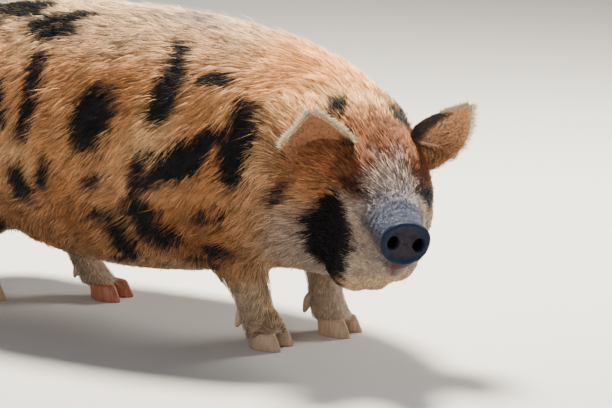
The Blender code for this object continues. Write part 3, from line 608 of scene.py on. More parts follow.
# Right flank, as the near side shows them: (x, around) of both ends and half width
SPOTS = [
    (-0.206, -0.143, -0.149, -0.131, 0.020), (-0.394, -0.051, -0.277, -0.057, 0.040),
    (-0.240, -0.120, -0.137, -0.084, 0.024), (-0.187, -0.202, -0.178, -0.284, 0.020),
    (-0.178, -0.284, -0.190, -0.355, 0.023), (-0.267, -0.273, -0.248, -0.332, 0.018),
    (-0.015, -0.290, -0.032, -0.335, 0.047), (0.128, -0.216, 0.125, -0.284, 0.031),
    (0.110, -0.128, 0.126, -0.190, 0.017), (0.195, -0.203, 0.228, -0.188, 0.018),
    (0.290, -0.250, 0.276, -0.336, 0.032), (0.275, -0.341, 0.270, -0.415, 0.019),
    (0.152, -0.390, 0.195, -0.362, 0.037), (0.210, -0.340, 0.237, -0.305, 0.020),
    (0.074, -0.439, 0.123, -0.427, 0.016), (0.097, -0.369, 0.090, -0.405, 0.016),
    (-0.030, -0.447, 0.002, -0.440, 0.014), (-0.215, -0.451, -0.197, -0.488, 0.031),
    (-0.136, -0.424, -0.138, -0.457, 0.018), (0.080, -0.492, 0.104, -0.552, 0.040),
    (0.009, -0.536, 0.012, -0.608, 0.028), (-0.038, -0.509, -0.009, -0.506, 0.012),
    (0.208, -0.501, 0.233, -0.498, 0.019), (0.207, -0.594, 0.245, -0.594, 0.018),
    (-0.190, -0.700, -0.140, -0.700, 0.018), (-0.041, -0.647, 0.006, -0.631, 0.012),
    (0.131, -0.636, 0.153, -0.635, 0.010), (0.173, -0.633, 0.195, -0.627, 0.012),
    (0.356, -0.470, 0.338, -0.510, 0.007), (0.520, 0.050, 0.450, 0.136, 0.021),
]
# The rump and left side carry spots of the same kind, in places of the breed's free pattern
GOLDEN = 0.618
rng = np.random.default_rng(21)
for low, high, first, last, count in ((-0.56, -0.30, -0.75, -0.12, 7), (-0.56, 0.38, 0.06, 0.74, 21)):
    for i in range(count):
        x = low + (high - low) * ((i * GOLDEN + 0.13) % 1.0)
        around = first + (last - first) * (i + 0.5) / count
        long, wide = 0.002 + 0.048 * rng.random() ** 2, 0.013 + 0.034 * rng.random() ** 1.4
        SPOTS.append((x, around - long, x + rng.uniform(-0.03, 0.03), around + long, wide))
HEAD_SPOTS = (
    (-0.154, -0.158, -0.148, -0.225, 0.036),
    (-0.134, -0.190, -0.128, -0.235, 0.026),
    (-0.188, -0.205, -0.190, -0.244, 0.037),
    (-0.166, -0.250, -0.160, -0.268, 0.022),
    (-0.272, -0.036, -0.254, -0.044, 0.012),
    (-0.262, 0.046, -0.365, 0.034, 0.021),
    (-0.242, -0.147, -0.250, -0.168, 0.007),
    (-0.124, 0.088, -0.142, 0.150, 0.011),
    (-0.140, 0.118, -0.162, 0.142, 0.013),
    (-0.210, 0.190, -0.180, 0.230, 0.024),
)
TAWNY_TUFT = ((-0.118, -0.212, -0.130, -0.262, 0.011),)
SPOT_AHEAD = 0.014


def ripple(points, size, seed):
    """Smooth noise between about -1 and 1, with features of the given size."""
    waves = np.random.default_rng(seed)
    ways = waves.normal(size=(14, 3))
    ways /= np.linalg.norm(ways, axis=1)[:, None]
    ways *= waves.uniform(0.6, 1.5, (14, 1)) * math.pi / size
    return np.sin(points @ ways.T + waves.uniform(0, 2 * math.pi, 14)).sum(1) / 4


def mix(base, colour, amount):
    amount = np.broadcast_to(amount, len(base))[:, None]
    return base * (1 - amount) + np.array(colour) * amount


def spot_amount(flat, spots, edge):
    """How far inside any of the spots a place of an unrolled side is, from 0 to 1."""
    inside = np.zeros(len(flat))
    for x0, y0, x1, y1, half in spots:
        start, reach = np.array((x0, y0)), np.array((x1 - x0, y1 - y0))
        t = np.clip(((flat - start) @ reach) / (reach @ reach), 0, 1)
        away = np.linalg.norm(flat - start - t[:, None] * reach, axis=1)
        inside = np.maximum(inside, 1 - ease(away - half * (1 + 0.22 * edge), -0.005, 0.005))
    return inside


def coat_colour(points, ahead=0.0, pick=0.0):
    """The colour of the hair that is rooted at each place; pick sets one hair off from the next."""
    here = in_head(points)
    head = ease(here[:, 0], -0.34, -0.26) * (1 - ease(np.abs(here[:, 1] + 0.01), 0.165, 0.200))
    high = points[:, 2]
    broad = ripple(points, 0.11, 1)
    fine = ripple(points, 0.022, 2) + pick
    made = mix(np.tile(GINGER, (len(points), 1)), STRAW, np.clip(0.30 + 0.30 * broad + 0.16 * fine, 0, 1))
    made = mix(made, RUST, np.clip(0.35 * ripple(points, 0.07, 3) - 0.05, 0, 1))
    made = mix(made, CREAM, 0.72 * (1 - ease(high, 0.10, 0.21)) * (1 - head))
    # Painted shade under the barrel: the lower flank is mixed towards a dark red, partly its own redder colour
    flank_shade_mask = (1 - ease(high, 0.26, 0.40)) * ease(high, 0.14, 0.24) * (1 - head)
    made = mix(made, FLANK_PAINTED_SHADE, 0.42 * flank_shade_mask)
    throat = (1 - ease(high, 0.16, 0.30)) * ease(points[:, 0], 0.26, 0.38)
    made = mix(made, CREAM, 0.65 * np.clip(throat, 0, 1))
    # Painted shade: darker towards the bottom, by up to 16 per cent below the flank's middle height
    made = made * (1 - 0.16 * (1 - ease(high, 0.34, 0.46)))[:, None]
    # Paler along the top of the back and gold on the nape: partly the coat's own straw and gold, partly
    # painted sunlight where the key falls on them
    made = mix(made, PALE, 0.66 * ease(high, 0.545, 0.64))
    sunlit_nape = ease(points[:, 0], 0.22, 0.36) * ease(high, 0.42, 0.54)
    made = mix(made, NAPE_GOLD_SUNLIT, 0.76 * sunlit_nape)
    grey = bell(points[:, 0], 0.09, 0.09) * bell(points[:, 1], -0.01, 0.055) * ease(high, 0.56, 0.60)
    made = mix(made, BACK_GREY, 0.66 * grey)
    # Deep rust on the crown, painted darker than its own colour as shade on a brow that faces away from the
    # key
    crown = ease(here[:, 0] + 0.012 * fine, -0.262, -0.212) * ease(here[:, 2], 0.02, 0.07) * head
    made = mix(made, CROWN_RUST_SHADED, np.clip(0.96 + 0.12 * fine, 0, 0.98) * crown)
    poll = head * (1 - ease(here[:, 0] + 0.012 * fine, -0.285, -0.235))
    made = mix(made, POLL_STRAW, 0.40 * poll)
    lower = 0.037 * ease(here[:, 2], 0.02, 0.06)
    face = ease(here[:, 0] + 0.014 * fine - 0.35 * np.abs(here[:, 1]) - lower, -0.178, -0.128) * head
    made = mix(made, CREAM, 0.82 * face)
    brow = face * ease(here[:, 2], 0.01, 0.05)
    made = mix(made, BROW_WHITE, 0.75 * brow)
    rusty = 0.25 + 0.30 * ease(-here[:, 0], 0.11, 0.16) + 0.25 * ease(np.abs(here[:, 1] - 0.01), 0.03, 0.08)
    made = mix(made, BROW_STREAK, np.clip(rusty + 0.48 * fine, 0, 0.92) * brow)
    cheek = ease(here[:, 0], -0.30, -0.22) * (1 - ease(here[:, 2], -0.08, 0.02)) * head
    made = mix(made, CHEEK_GREY, 0.66 * cheek * (1 - face))
    temple = bell(here[:, 0], -0.193, 0.046) * bell(here[:, 2], 0.060, 0.050)
    made = mix(made, TEMPLE_ORANGE, 0.85 * temple * head * (1 - face))
    chin = ease(here[:, 0], -0.15, -0.09) * ease(-here[:, 2], 0.085, 0.125) * head
    made = mix(made, CHIN_STRAW, 0.78 * chin)
    side_face = face * (1 - ease(here[:, 2], -0.03, 0.03)) * (1 - chin)
    made = mix(made, FACE_GREY, np.clip(0.58 + 0.35 * fine, 0, 0.92) * side_face)
    nose = ease(here[:, 0] + 0.006 * fine, -0.105, -0.062) * ease(here[:, 2], -0.030, 0.015) * head
    made = mix(made, SLATE, 0.88 * nose)
    made = mix(made, SLATE, 0.55 * ease(here[:, 0], -0.062, -0.024) * head)
    made = mix(made, LIP_RED, 0.95 * lower_lip(here))
    for hand, (middle, out, across, rise) in eyes.items():
        colour, reach, behind = EYE_RIMS[hand]
        offset = points - np.array(middle)
        away = np.hypot((offset @ np.array(across) - behind) / 2.3, offset @ np.array(rise))
        away = np.where(np.linalg.norm(offset, axis=1) < 0.05, away, 1.0)
        made = mix(made, colour, 0.90 * (1 - ease(away, 0.55 * reach, 1.1 * reach)))
    edge = ripple(points, 0.012, 4)
    around = np.arctan2(points[:, 1], high - AXIS_HIGH) * UNROLL
    trunk = np.stack([points[:, 0] - ahead, around], 1)
    body = spot_amount(trunk, SPOTS, edge) * (1 - head) * ease(high, 0.08, 0.12)
    turned = np.arctan2(here[:, 1], here[:, 2]) * HEAD_UNROLL
    face_flat = np.stack([here[:, 0] - 0.8 * ahead, turned], 1)
    made = mix(made, TUFT_TAWNY, 0.8 * spot_amount(face_flat, TAWNY_TUFT, edge) * head)
    made = mix(made, BLACK, np.clip(body + spot_amount(face_flat, HEAD_SPOTS, edge) * head, 0, 1))
    near = by_ears(points)
    if not len(near):
        return made
    on_ear, side, u, t, cup = ear_place(points[near])
    leaf = made[near]
    right = side < 0
    # The right cup's darker colour is painted shade
    inside = np.where(right[:, None], *EAR_CUPS)
    leaf = np.where(cup[:, None], leaf * 0.15 + inside * 0.85, mix(leaf, EAR_BACK, 0.7))
    # Painted shade deep in each cup, towards the ear's root, more in the right ear's
    leaf = mix(leaf, EAR_CUP_SHADE, cup * np.where(right, 0.65, 0.30) * (1 - ease(t, 0.30, 0.62)))
    # Pale edges and tip: partly the ear's own pale hair, partly painted backlight through the thin edge
    backlit_edge = 0.60 * ease(np.abs(u), 0.74, 0.96) * ease(t, 0.46, 0.60) + 0.3 * ease(t, 0.85, 1.0)
    leaf = mix(leaf, PALE, backlit_edge)
    black = (1 - ease(u, -0.80, -0.45)) * (1 - ease(t, 0.46, 0.62)) * right
    black += ~right * (1 - ease(u + 0.35 * t, -0.42, -0.16)) * (1 - ease(t, 0.74, 0.90))
    black += ~right * ~cup * (1 - ease(t, 0.55, 0.80))
    leaf = mix(leaf, BLACK, np.clip(black, 0, 1) * 0.96)
    made[near] = np.where(on_ear[:, None], leaf, made[near])
    return made


def paint(mesh, colours):
    """One colour a point, read by the materials as the attribute Coat."""
    layer = mesh.attributes.new("Coat", "FLOAT_COLOR", "POINT")
    layer.data.foreach_set("color", np.column_stack([colours, np.ones(len(colours))]).ravel())


points = points_of(skin.data)
here = in_head(points)
SKIN_PINK = (0.42, 0.20, 0.14)
LIPS_RED = (0.16, 0.042, 0.024)
MOUTH_CREASE_SHADE = (0.012, 0.005, 0.005)
NOSE_SKIN = (0.055, 0.062, 0.090)
bare = coat_colour(points)
mouth = mouth_distance(points)
pink = mix(bare, SKIN_PINK, 0.30 * ease(bare.sum(1), 0.25, 0.70))
lips = 1 - ease(mouth, 0.0025, 0.0055)
pink = mix(pink, LIPS_RED, 0.85 * lips * ease(here[:, 0], -0.11, -0.09))
# Painted shade, near black, in the crease between the lips
pink = mix(pink, MOUTH_CREASE_SHADE, 0.95 * (1 - ease(mouth, 0.0016, 0.0046)))
pink = mix(pink, NOSE_SKIN, 0.9 * ease(here[:, 0], -0.034, -0.022) * (1 - lower_lip(here)))
on_ears = np.zeros(len(points))
near = by_ears(points)
on_ears[near] = ear_place(points[near])[0]
paint(skin.data, pink * (0.80 + 0.50 * on_ears)[:, None])
skin.data.shade_smooth()


class Paint:
    """A material under construction: its nodes are added by kind and joined by the names of their sockets."""

    def __init__(self, name, **values):
        self.made = bpy.data.materials.new(name)
        self.made.use_nodes = True
        self.shader = self.made.node_tree.nodes["Principled BSDF"]
        self.give(self.shader, values)

    def give(self, node, values):
        for key, value in values.items():
            node.inputs[key.replace("_", " ")].default_value = value

    def add(self, kind, settings=(), **values):
        node = self.made.node_tree.nodes.new("ShaderNode" + kind)
        for key, value in dict(settings).items():
            setattr(node, key, value)
        self.give(node, values)
        return node

    def join(self, source, output, target, entry):
        self.made.node_tree.links.new(source.outputs[output], target.inputs[entry])

    def coat_and_place(self):
        """The nodes that read the painted colour and the place on the piece."""
        return self.add("Attribute", {"attribute_name": "Coat"}), self.add("TexCoord")


def hide_material():
    """Thick skin with fine creases and the pores of coarse hair, coloured as the coat over it."""
    hide = Paint("pig skin", Roughness=0.62, Specular_IOR_Level=0.35)
    colour, place_of = hide.coat_and_place()
    grain = hide.add("TexNoise", Scale=420, Detail=4)
    hide.join(place_of, "Object", grain, "Vector")
    shade = hide.add("Mix", {"data_type": "RGBA", "blend_type": "MULTIPLY"}, Factor=0.55)
    hide.join(colour, "Color", shade, "A")
    hide.join(grain, "Fac", shade, "B")
    hide.join(shade, "Result", hide.shader, "Base Color")
    creases = hide.add("TexVoronoi", Scale=260)
    hide.join(place_of, "Object", creases, "Vector")
    low = hide.add("Bump", Distance=0.0006, Strength=0.6)
    hide.join(creases, "Distance", low, "Height")
    fine = hide.add("Bump", Distance=0.0004, Strength=0.6)
    hide.join(grain, "Fac", fine, "Height")
    hide.join(low, "Normal", fine, "Normal")
    hide.join(fine, "Normal", hide.shader, "Normal")
    return hide.made


skin.data.materials.clear()
skin.data.materials.append(hide_material())

# The coat. Coarse, nearly straight hair of 3 to 5 cm lies back and down in small locks over the skin.
# Each hair is a closed six-faced spindle, rooted in the skin and bent with it; thousands make one piece.
# No piece has more than 33,000 of them, so that each stays under 200,000 triangles.
with bpy.context.temp_override(object=skin, active_object=skin, selected_objects=[skin]):
    bpy.context.view_layer.objects.active = skin
    skin.select_set(True)
    bpy.ops.object.mode_set(mode="EDIT")
    bpy.ops.mesh.select_all(action="SELECT")
    bpy.ops.uv.smart_project(angle_limit=math.radians(66), island_margin=0.002)
    bpy.ops.object.mode_set(mode="OBJECT")
    skin.select_set(False)
skin.data.uv_layers[0].name = "Unwrap"
skin.data.calc_loop_triangles()
count = len(skin.data.loop_triangles)
corners = np.empty(count * 3, np.int32)
loops = np.empty(count * 3, np.int32)
skin.data.loop_triangles.foreach_get("vertices", corners)
skin.data.loop_triangles.foreach_get("loops", loops)
skin_points = points_of(skin.data)
skin_normals = normals_of(skin.data)
flat_map = np.empty(len(skin.data.loops) * 2)
skin.data.uv_layers[0].data.foreach_get("uv", flat_map)
tri_points = skin_points[corners].reshape(-1, 3, 3)
tri_normals = skin_normals[corners].reshape(-1, 3, 3)
tri_flat = flat_map.reshape(-1, 2)[loops].reshape(-1, 3, 2)
tri_cross = np.cross(tri_points[:, 1] - tri_points[:, 0], tri_points[:, 2] - tri_points[:, 0])
tri_area = np.linalg.norm(tri_cross, axis=1) / 2
tri_middle = tri_points.mean(1)
skin_tree = BVHTree.FromPolygons([tuple(p) for p in skin_points], [tuple(c) for c in corners.reshape(-1, 3)])
FAN_FROM = np.array((-0.080, 0.010, 0.035))


def unit(rows):
    """Every row scaled to length 1."""
    return rows / np.maximum(np.linalg.norm(rows, axis=1), 1e-9)[:, None]


def lie_of(points):
    """The way the hair lies: back and down the flank, down the legs, back from the snout and up the ears."""
    here = in_head(points)
    x, z = points[:, 0], points[:, 2]
    head = ease(here[:, 0], -0.38, -0.22) * ease(here[:, 1], -0.24, -0.18)
    leg = (1 - ease(z, 0.15, 0.24)) * (1 - head)
    rise = (z - AXIS_HIGH) / 0.27
    rump = ease(-x, 0.40, 0.56)
    flank = np.stack([-np.ones_like(x), 0 * x, -1.05 * np.maximum(0, 1 - rise**4) - 2.0 * rump], 1)
    over = np.stack([-np.ones_like(x), 2.0 * here[:, 1], 3.0 * np.maximum(0, here[:, 2]) - 0.15], 1)
    fan = here - FAN_FROM
    spread = ease(here[:, 0], -0.25, -0.18) * (1 - ease(here[:, 0], -0.098, -0.078))
    spread *= ease(here[:, 2], 0.005, 0.045)
    over = unit(over) * (1 - spread)[:, None] + unit(fan) * spread[:, None]
    over = over @ np.array(HEAD_TURN).T
    down = np.stack([0.20 - 0.45 * ease(z, 0.06, 0.10), 0 * x, -np.ones_like(x)], 1)
    body = unit(flank) * (1 - head)[:, None] + unit(over) * head[:, None]
    way = unit(body * (1 - leg)[:, None] + down * leg[:, None])
    near = by_ears(points)
    if len(near):
        on_ear, side, u, t, _ = ear_place(points[near])
        for hand, which in SIDES:
            ear = ear_frame(hand, which)
            mine = on_ear & (side == which)
            outwards = (u[mine] * which)[:, None] * np.array(HEAD_TURN @ ear[2])
            way[near[mine]] = unit(np.array(HEAD_TURN @ ear[1]) + 0.55 * outwards)
    return way


# A hair's faces, the patch of the unwrap that it covers, and how light it is from root to tip:
# painted shade darkens each hair towards its root, where the coat over it shades it, and the tip is a little
# lighter
SPINDLE = ((0, 2, 1), (0, 3, 2), (0, 1, 3), (1, 2, 4), (2, 3, 4), (3, 1, 4))
PATCH_SIZE = 0.003
PATCH = np.array(((0.5, 0.0), (0.0, 0.5), (0.5, 0.4), (1.0, 0.5), (0.5, 1.0))) * PATCH_SIZE
SHADE = np.array((0.38, 0.86, 0.94, 0.86, 1.20))
ROOT_SUNK = 0.0015


def nearest(points):
    found = [skin_tree.find_nearest(p) for p in points]
    return np.array([f[0] for f in found]), np.array([f[1] for f in found])


def blades(name, root, out, way, flat, length, width, lift, colour, free=None, shade=SHADE):
    """Hair as one joined mesh of spindles, each from a point in the skin, by its widest place, to its tip."""
    count = len(root)
    if free is None:
        way = unit(way - out * np.sum(way * out, 1)[:, None])
        middle, out_middle = nearest(root + way * (length * 0.42)[:, None])
        way_middle = unit(way - out_middle * np.sum(way * out_middle, 1)[:, None])
        tip, out_tip = nearest(middle + way_middle * (length * 0.58)[:, None])
        middle = middle + out_middle * (lift * 0.82)[:, None]
        tip = tip + out_tip * lift[:, None]
        hang = (1 - ease(root[:, 2], 0.046, 0.060))[:, None]
        tip = tip * (1 - hang) + (middle + (0.9 * way_middle + 0.2 * out) * (length * 0.5)[:, None]) * hang
    else:
        out_middle, way_middle = out, way
        middle = root + way * (length * 0.5)[:, None]
        tip = middle + unit(way + free) * (length * 0.5)[:, None]
    side = unit(np.cross(out_middle, way_middle))
    verts = np.empty((count, 5, 3))
    verts[:, 0] = root - out * ROOT_SUNK
    verts[:, 1] = middle - side * (width * 0.5)[:, None]
    verts[:, 2] = middle + out_middle * (width * 0.35)[:, None]
    verts[:, 3] = middle + side * (width * 0.5)[:, None]
    verts[:, 4] = tip
    faces = (np.array(SPINDLE)[None] + 5 * np.arange(count)[:, None, None]).reshape(-1, 3)
    mesh = bpy.data.meshes.new(name)
    mesh.vertices.add(count * 5)
    mesh.vertices.foreach_set("co", verts.ravel())
    mesh.loops.add(len(faces) * 3)
    mesh.loops.foreach_set("vertex_index", faces.ravel().astype(np.int32))
    mesh.polygons.add(len(faces))
    mesh.polygons.foreach_set("loop_start", np.arange(0, len(faces) * 3, 3, dtype=np.int32))
    mesh.update(calc_edges=True)
    uv = mesh.uv_layers.new(name="OFBake")
    per_vertex = (flat[:, None, :] - PATCH_SIZE / 2 + PATCH[None]).reshape(-1, 2)
    uv.data.foreach_set("uv", per_vertex[faces.ravel()].ravel())
    paint(mesh, (colour[:, None, :] * shade[None, :, None]).reshape(-1, 3))
    mesh.shade_smooth()
    return place(mesh, name)


def hair_material():
    """Coarse hair: lit streaks across each lock and a soft gloss, coloured by the place of its root."""
    hair = Paint("kunekune hair", Roughness=0.58, Specular_IOR_Level=0.14)
    colour, place_of = hair.coat_and_place()
    streak = hair.add("TexNoise", Scale=700, Detail=2)
    hair.join(place_of, "Object", streak, "Vector")
    spread = hair.add("MapRange", To_Min=0.55, To_Max=1.35)
    hair.join(streak, "Fac", spread, "Value")
    shade = hair.add("VectorMath", {"operation": "SCALE"})
    hair.join(colour, "Color", shade, "Vector")
    hair.join(spread, "Result", shade, "Scale")
    hair.join(shade, "Vector", hair.shader, "Base Color")
    return hair.made


# Length, width and lift of the hair on the trunk, head, muzzle and legs
TRUNK_HAIR = (0.048, 0.00135, 0.0145)
HEAD_HAIR = (0.036, 0.0010, 0.0085)
MUZZLE_HAIR = (0.0095, 0.0006, 0.0018)
LEG_HAIR = (0.0125, 0.0009, 0.0028)


def hair_sizes(points):
    """Length, width and lift at each place: long on the trunk, short on the face and feet."""
    here = in_head(points)
    head = ease(here[:, 0], -0.33, -0.22) * (1 - ease(np.abs(here[:, 1]), 0.20, 0.24))
    above = ease(here[:, 2], 0.02, 0.06)
    muzzle = ease(here[:, 0], -0.165 + 0.050 * above, -0.090 + 0.018 * above) * head
    leg = (1 - ease(points[:, 2], 0.09, 0.24)) * (1 - head)
    sizes = np.tile(TRUNK_HAIR, (len(points), 1))
    for amount, there in ((head, HEAD_HAIR), (muzzle, MUZZLE_HAIR), (leg, LEG_HAIR)):
        sizes = mix(sizes, there, amount)
    lid = ease(eye_distance(points), 0.012, 0.042)
    return sizes * np.stack([0.50 + 0.50 * lid, 0.70 + 0.30 * lid, 0.20 + 0.80 * lid], 1)


def coat(name, where, count, seed, shorter=1.0, clump=22, pull=0.22, veer=0.16, stray=0.03, flatter=1.0,
         shade=SHADE):
    """Hair over the part of the skin that a rule picks, in clumps whose tips draw together."""
    rng = np.random.default_rng(seed)
    sizes = hair_sizes(tri_middle)
    weight = tri_area * where(tri_middle) / (sizes[:, 0] * sizes[:, 1]) ** 0.8
    total = np.cumsum(weight)
    picks = np.searchsorted(total, (np.arange(count) + rng.random(count)) / count * total[-1])
    picks = np.clip(picks, 0, len(weight) - 1)
    u, v = rng.random(count), rng.random(count)
    over = u + v > 1
    u[over], v[over] = 1 - u[over], 1 - v[over]
    share = np.stack([1 - u - v, u, v], 1)[:, :, None]
    root = (tri_points[picks] * share).sum(1)
    out = unit((tri_normals[picks] * share).sum(1))
    flat = (tri_flat[picks] * share).sum(1)
    leaders = rng.choice(count, max(1, count // clump), replace=False)
    tree = KDTree(len(leaders))
    for i, index in enumerate(leaders):
        tree.insert(root[index], i)
    tree.balance()
    group = np.array([tree.find(p)[1] for p in root])
    shared = rng.normal(size=(len(leaders), 4))
    own = rng.normal(size=(count, 4))
    blend = 0.7 * shared[group] + 0.7 * own
    length, width, rise = hair_sizes(root).T
    length, rise = length * shorter, rise * shorter * flatter
    way = lie_of(root)
    way = unit(way - out * np.sum(way * out, 1)[:, None])
    swing = veer * blend[:, 0] + 0.25 * ripple(root, 0.06, seed + 50)
    way = unit(way + np.cross(out, way) * swing[:, None])
    long = length * (1 + 0.20 * blend[:, 1]).clip(0.5, 1.5)
    lift = rise * (0.35 + 0.65 * rng.random(count) ** 0.7) * (1 + 0.12 * shared[group][:, 2])
    lift = np.where(rng.random(count) < stray, lift * 1.5, lift)
    to_leader = root[leaders[group]] - root
    to_leader -= way * np.sum(to_leader * way, 1)[:, None]
    way = unit(way + to_leader * (pull / length)[:, None])
    wide = width * rng.uniform(0.6, 1.5, count)
    tone = (1 + 0.22 * shared[group][:, 3] + 0.24 * own[:, 3]).clip(0.35, 1.8)
    pick = rng.uniform(-1, 1, count)
    colour = coat_colour(root + rng.normal(size=(count, 3)) * 0.0035, SPOT_AHEAD, pick) * tone[:, None]
    return blades(name, root, out, way, flat, long, wide, lift, colour, shade=shade)


def on_head_side(p):
    here = in_head(p)
    return (here[:, 0] > -0.280) & (np.abs(here[:, 1]) < 0.26)


def head_part(p):
    """The hairy skin of the head: not the slits of the eyes, the lips or the flesh behind the disc."""
    here = in_head(p)
    clear = (here[:, 0] < -0.008) & (slit_measure(p) > 1.25)
    clear &= (mouth_distance(p) > 0.0030) & (lower_lip(here) < 0.5)
    clear &= (here[:, 0] < -0.070) | (np.hypot(here[:, 1] - 0.003, here[:, 2]) > 0.035)
    return on_head_side(p) & clear


def leg_part(p):
    return (p[:, 2] < 0.155) * (p[:, 0] < 0.42)


def ear_part(p):
    on_ear = np.zeros(len(p), bool)
    near = by_ears(p)
    on_ear[near] = ear_place(p[near])[0]
    return on_ear


def tail_part(p):
    near = (p[:, 0] < -0.598) & (np.abs(p[:, 1]) < 0.03) & (p[:, 2] < 0.57) & (p[:, 2] > 0.33)
    return near & ((p[:, 0] < -0.630) | (p[:, 2] > 0.53))


ears_hair, tail_hair = ear_part(tri_middle), tail_part(tri_middle)


def trunk_between(low, high, first, last):
    """Trunk skin between two places along it and two angles around it, in degrees from the spine."""
    def rule(p):
        around = np.degrees(np.arctan2(p[:, 1], p[:, 2] - AXIS_HIGH))
        kept = (p[:, 0] >= low) & (p[:, 0] < high) & (around >= first) & (around < last)
        return kept & ~on_head_side(p) & ~leg_part(p) & ~ears_hair & ~tail_hair
    return rule


coat_pieces = []
# Each trunk coat's name, its ends along the body, its angles from the spine and its number of hairs
TRUNK_COATS = (
    ("coat_back", -0.70, 0.60, -45, 45, 32000),
    ("coat_right_side", -0.70, 0.02, -110, -45, 27000),
    ("coat_right_shoulder", 0.02, 0.60, -110, -45, 28000),
    ("coat_left_side", -0.70, 0.02, 45, 110, 21500),
    ("coat_left_shoulder", 0.02, 0.60, 45, 110, 16500),
    ("coat_belly_right", -0.70, 0.60, -180, -110, 14500),
    ("coat_belly_left", -0.70, 0.60, 110, 180, 9500),
)
for seed, (name, low, high, first, last, count) in enumerate(TRUNK_COATS):
    coat_pieces.append(coat(name, trunk_between(low, high, first, last), count, seed + 1))


MUZZLE_START = -0.125
# Painted shade along each ear hair, lighter at the root than on the coat
EAR_SHADE = np.array((0.86, 0.95, 1.0, 0.95, 1.06))


def crown_part(p):
    here = in_head(p)
    return head_part(p) & (here[:, 0] < MUZZLE_START) & (here[:, 2] > 0.0) & ~ears_hair


def cheek_part(p):
    here = in_head(p)
    return head_part(p) & (here[:, 0] < MUZZLE_START) & (here[:, 2] <= 0.0)


def muzzle_part(p):
    return head_part(p) & (in_head(p)[:, 0] >= MUZZLE_START)


coat_pieces += [
    coat("coat_crown", crown_part, 16500, 11, clump=9, pull=0.10, veer=0.10),
    coat("coat_cheeks", cheek_part, 17000, 12, clump=16),
    coat("coat_muzzle", muzzle_part, 25000, 13, clump=10, pull=0.14, veer=0.12),
    coat("coat_ears", lambda p: ears_hair * 1.0, 12000, 14, shorter=0.27, clump=6, veer=0.08, stray=0.0,
         flatter=0.35, shade=EAR_SHADE),
    coat("coat_legs", leg_part, 17500, 15, clump=12, pull=0.10),
    coat("coat_tail", lambda p: tail_hair * 1.0, 4500, 16, shorter=0.6, clump=8),
]

# The fringe of the ears. Longer, pale hair stands out from both edges of each leaf, towards its tip.
# Each hair is a spindle of its own that stands clear of the skin, all of them in one mesh an ear.
FRINGE_HAIR = (0.0160, 0.0012)
# Near-white cream of the fringe: its own pale colour, brightened as painted backlight shining through it
FRINGE_CREAM_BACKLIT = (1.0, 0.85, 0.60)
# Painted shade along each fringe hair, lighter at the root than on the coat
FRINGE_SHADE = np.array((0.80, 0.95, 1.0, 0.95, 1.0))
# How far up its outer and its inner edge each ear's fringe starts
FRINGE_FROM = {"right": (0.50, 0.45), "left": (0.20, 0.72)}
FRINGE_COUNT = 1700


def loose_hair(name, roots, outs, ways, length, width, colour, seed, curl=0.35, shade=SHADE):
    """Hair that stands clear of the skin: the fringe of the ears, bristles, lashes and the tail's switch."""
    rng = np.random.default_rng(seed)
    count = len(roots)
    long = length * rng.uniform(0.45, 1.35, count)
    way = unit(ways + 0.22 * rng.normal(size=(count, 3)))
    bend = curl * (0.5 * rng.normal(size=(count, 3)) - np.array((0, 0, 0.4)))
    around = [skin_tree.find_nearest(p)[2] for p in roots]
    flat = tri_flat[around].mean(1)
    tone = rng.uniform(0.75, 1.2, count)[:, None]
    wide = width * rng.uniform(0.7, 1.3, count)
    return blades(name, roots, outs, way, flat, long, wide, long * 0, colour * tone, free=bend, shade=shade)


rng = np.random.default_rng(5)
for hand, side in SIDES:
    ear = ear_frame(hand, side)
    edge = np.where(rng.random(FRINGE_COUNT) < 0.5, -1.0, 1.0)
    lowest = np.where(edge * side > 0, *FRINGE_FROM[hand])
    up = lowest + (1 - lowest) * rng.random(FRINGE_COUNT) ** 0.8
    roots, ways, outs = [], [], []
    for u, t in zip(edge * rng.uniform(0.84, 1.0, FRINGE_COUNT), up):
        spot = ear_point(ear, u, t)
        outward = (spot - ear_point(ear, 0, t)).normalized()
        upward = (ear_point(ear, u, min(1, t + 0.02)) - spot).normalized()
        roots.append(spot)
        ways.append(outward * (1.5 - 0.6 * t) + upward * (0.2 + 0.7 * t))
        outs.append(HEAD_TURN @ ear[3])
    roots, ways, outs = np.array(roots), unit(np.array(ways)), np.array(outs)
    colour = mix(coat_colour(roots), FRINGE_CREAM_BACKLIT, 0.95)
    coat_pieces.append(loose_hair(f"ear_fringe_{hand}", roots, outs, ways, *FRINGE_HAIR, colour, 40 + side,
                                  shade=FRINGE_SHADE))

# Guard hair. Long, stiff, pale hair stands clear of the coat along the topline, where the light catches it;
# its colour is mixed further towards pale as painted rim light.
# Rays from above find the roots on the skin, and each hair leans back and up from its own.
GUARD_COUNT = 2600
along = rng.uniform(-0.56, 0.42, GUARD_COUNT)
over = rng.normal(size=GUARD_COUNT) * 0.055
guard = []
for x, y in zip(along, over):
    hit = skin_tree.ray_cast(Vector((x, y - 0.6 * max(0.0, x - 0.30), 1.0)), Vector((0, 0, -1)))
    if hit[0]:
        guard.append(hit[:2])
roots, outs = np.array([hit[0] for hit in guard]), np.array([hit[1] for hit in guard])
ways = unit(lie_of(roots) + outs * rng.uniform(0.30, 0.62, (len(roots), 1)))
# Mixed towards pale: partly pale hair, partly painted rim light on the topline
colour = mix(coat_colour(roots, SPOT_AHEAD), PALE, 0.45)
coat_pieces.append(loose_hair("guard_hair", roots, outs, ways, 0.040, 0.0008, colour, 61, curl=0.25))

